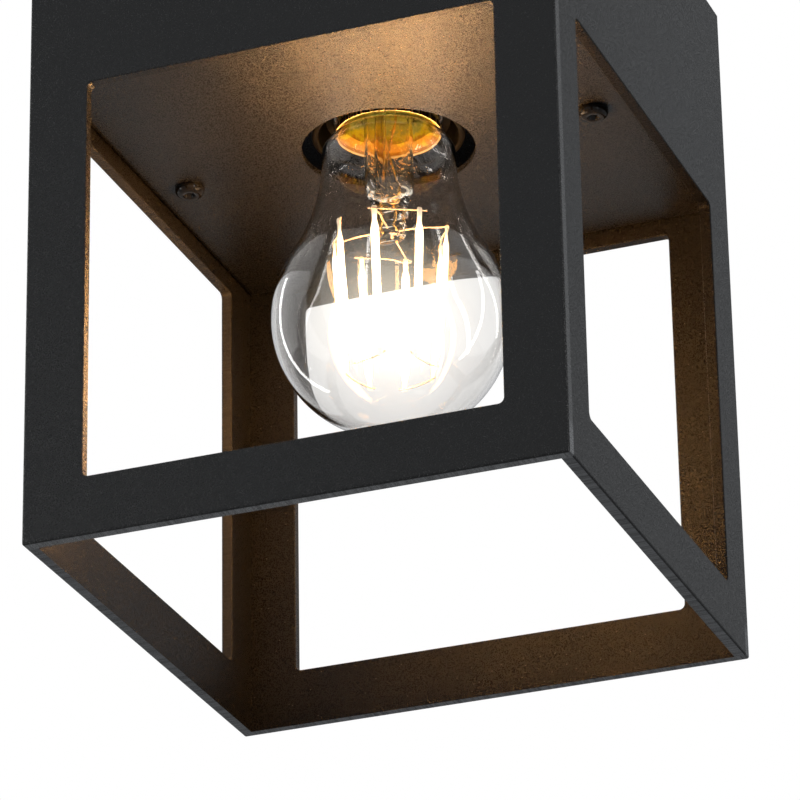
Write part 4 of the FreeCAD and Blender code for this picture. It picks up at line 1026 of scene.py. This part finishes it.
# ------------------------------ camera, light, floor
def make_camera():
    forward = Vector((math.sin(camera_yaw) * math.cos(camera_pitch),
                      math.cos(camera_yaw) * math.cos(camera_pitch), math.sin(camera_pitch)))
    level = forward.cross(Vector((0, 0, 1))).normalized()
    upward = level.cross(forward)
    right = level * math.cos(camera_roll) + upward * math.sin(camera_roll)
    up = upward * math.cos(camera_roll) - level * math.sin(camera_roll)
    data = bpy.data.cameras.new("view_from_below")
    data.sensor_width = camera_sensor
    data.lens = camera_lens
    data.clip_start, data.clip_end = 0.05, 60.0
    camera = bpy.data.objects.new("view_from_below", data)
    turn = Matrix((right, up, -forward)).transposed().to_4x4()
    camera.matrix_world = Matrix.Translation(camera_place) @ turn
    bpy.context.scene.collection.objects.link(camera)
    bpy.context.scene.camera = camera


def soft_box(name, place, size, power, reflected=True, lights_paint=True):
    """Rectangular lamp that looks at the lantern's middle. One that isn't reflected
    only lights matt surfaces, and one that doesn't light paint is only reflected."""
    data = bpy.data.lights.new(name, "AREA")
    data.shape = "RECTANGLE"
    data.size, data.size_y = size
    data.energy = power
    lamp = bpy.data.objects.new(name, data)
    lamp.location = place
    aim = Vector((0.0, 0.0, -0.1)) - Vector(place)
    lamp.rotation_euler = aim.to_track_quat("-Z", "Y").to_euler()
    lamp.visible_camera = False
    lamp.visible_glossy = lamp.visible_transmission = reflected
    lamp.visible_diffuse = lights_paint
    bpy.context.scene.collection.objects.link(lamp)


def make_world():
    """White behind the lantern. As light, a studio that is bright below and behind on
    the right, and dim in front on the left, worked out from the ray's direction."""
    world = bpy.data.worlds.new("soft_studio")
    bpy.context.scene.world = world
    world.use_nodes = True
    tree = world.node_tree
    direction = coordinates(tree, "Generated")
    below = ranged(product(z_of(direction), -1.0), -0.1, 0.8)
    beside = ranged(dot(direction, side_of_studio), 0.35, 1.0)
    ahead = ranged(dot(direction, front_of_studio), 0.2, 1.0)
    matt = sum_of(product(below, 0.55), product(beside, 0.20), 0.30)
    glossy = sum_of(product(beside, 0.25), product(ahead, 0.27), 0.30)
    seen = seen_rays(tree)
    lit = between(ray_kinds(tree)["Is Glossy Ray"], matt, glossy)
    plug_all(tree.nodes["Background"].inputs, {"Color": mixed(seen, studio_tint, white),
                                               "Strength": between(seen, lit, 1.0)})


def make_floor():
    """Pale floor far below, as on a porch. It keeps the lantern's shadow, and shows as
    nearly white."""
    far, low = floor_reach, floor_level
    mesh = bpy.data.meshes.new("floor")
    mesh.from_pydata([(-far, -far, low), (far, -far, low), (far, far, low), (-far, far, low)], [],
                     [(0, 1, 2, 3)])
    floor = bpy.data.objects.new("floor", mesh)
    bpy.context.scene.collection.objects.link(floor)
    material, tree, shader = new_material("pale_floor")
    plug_all(shader.inputs, {"Base Color": floor_colour, "Roughness": 0.9})
    lit = add(tree, "ShaderNodeEmission", {"Color": white, "Strength": 1.0})
    show_either(product(seen_rays(tree), 0.9), shader, lit)
    mesh.materials.append(material)


make_camera()
make_world()
make_floor()
soft_box("soft_box_right", (1.5, 0.75, 0.15), (0.5, 1.2), 2.0, reflected=False)
soft_box("strip_left", (-1.05, -0.60, -0.20), (0.10, 1.3), 5.2, lights_paint=False)
soft_box("strip_right", (1.05, -0.75, -0.20), (0.10, 1.2), 4.8, lights_paint=False)
soft_box("strip_left_rear", (-1.30, 0.45, -0.10), (0.05, 1.8), 2.6, lights_paint=False)
soft_box("strip_right_rear", (1.25, 0.60, -0.10), (0.05, 1.8), 2.6, lights_paint=False)
bpy.context.scene.view_settings.view_transform = "Standard"
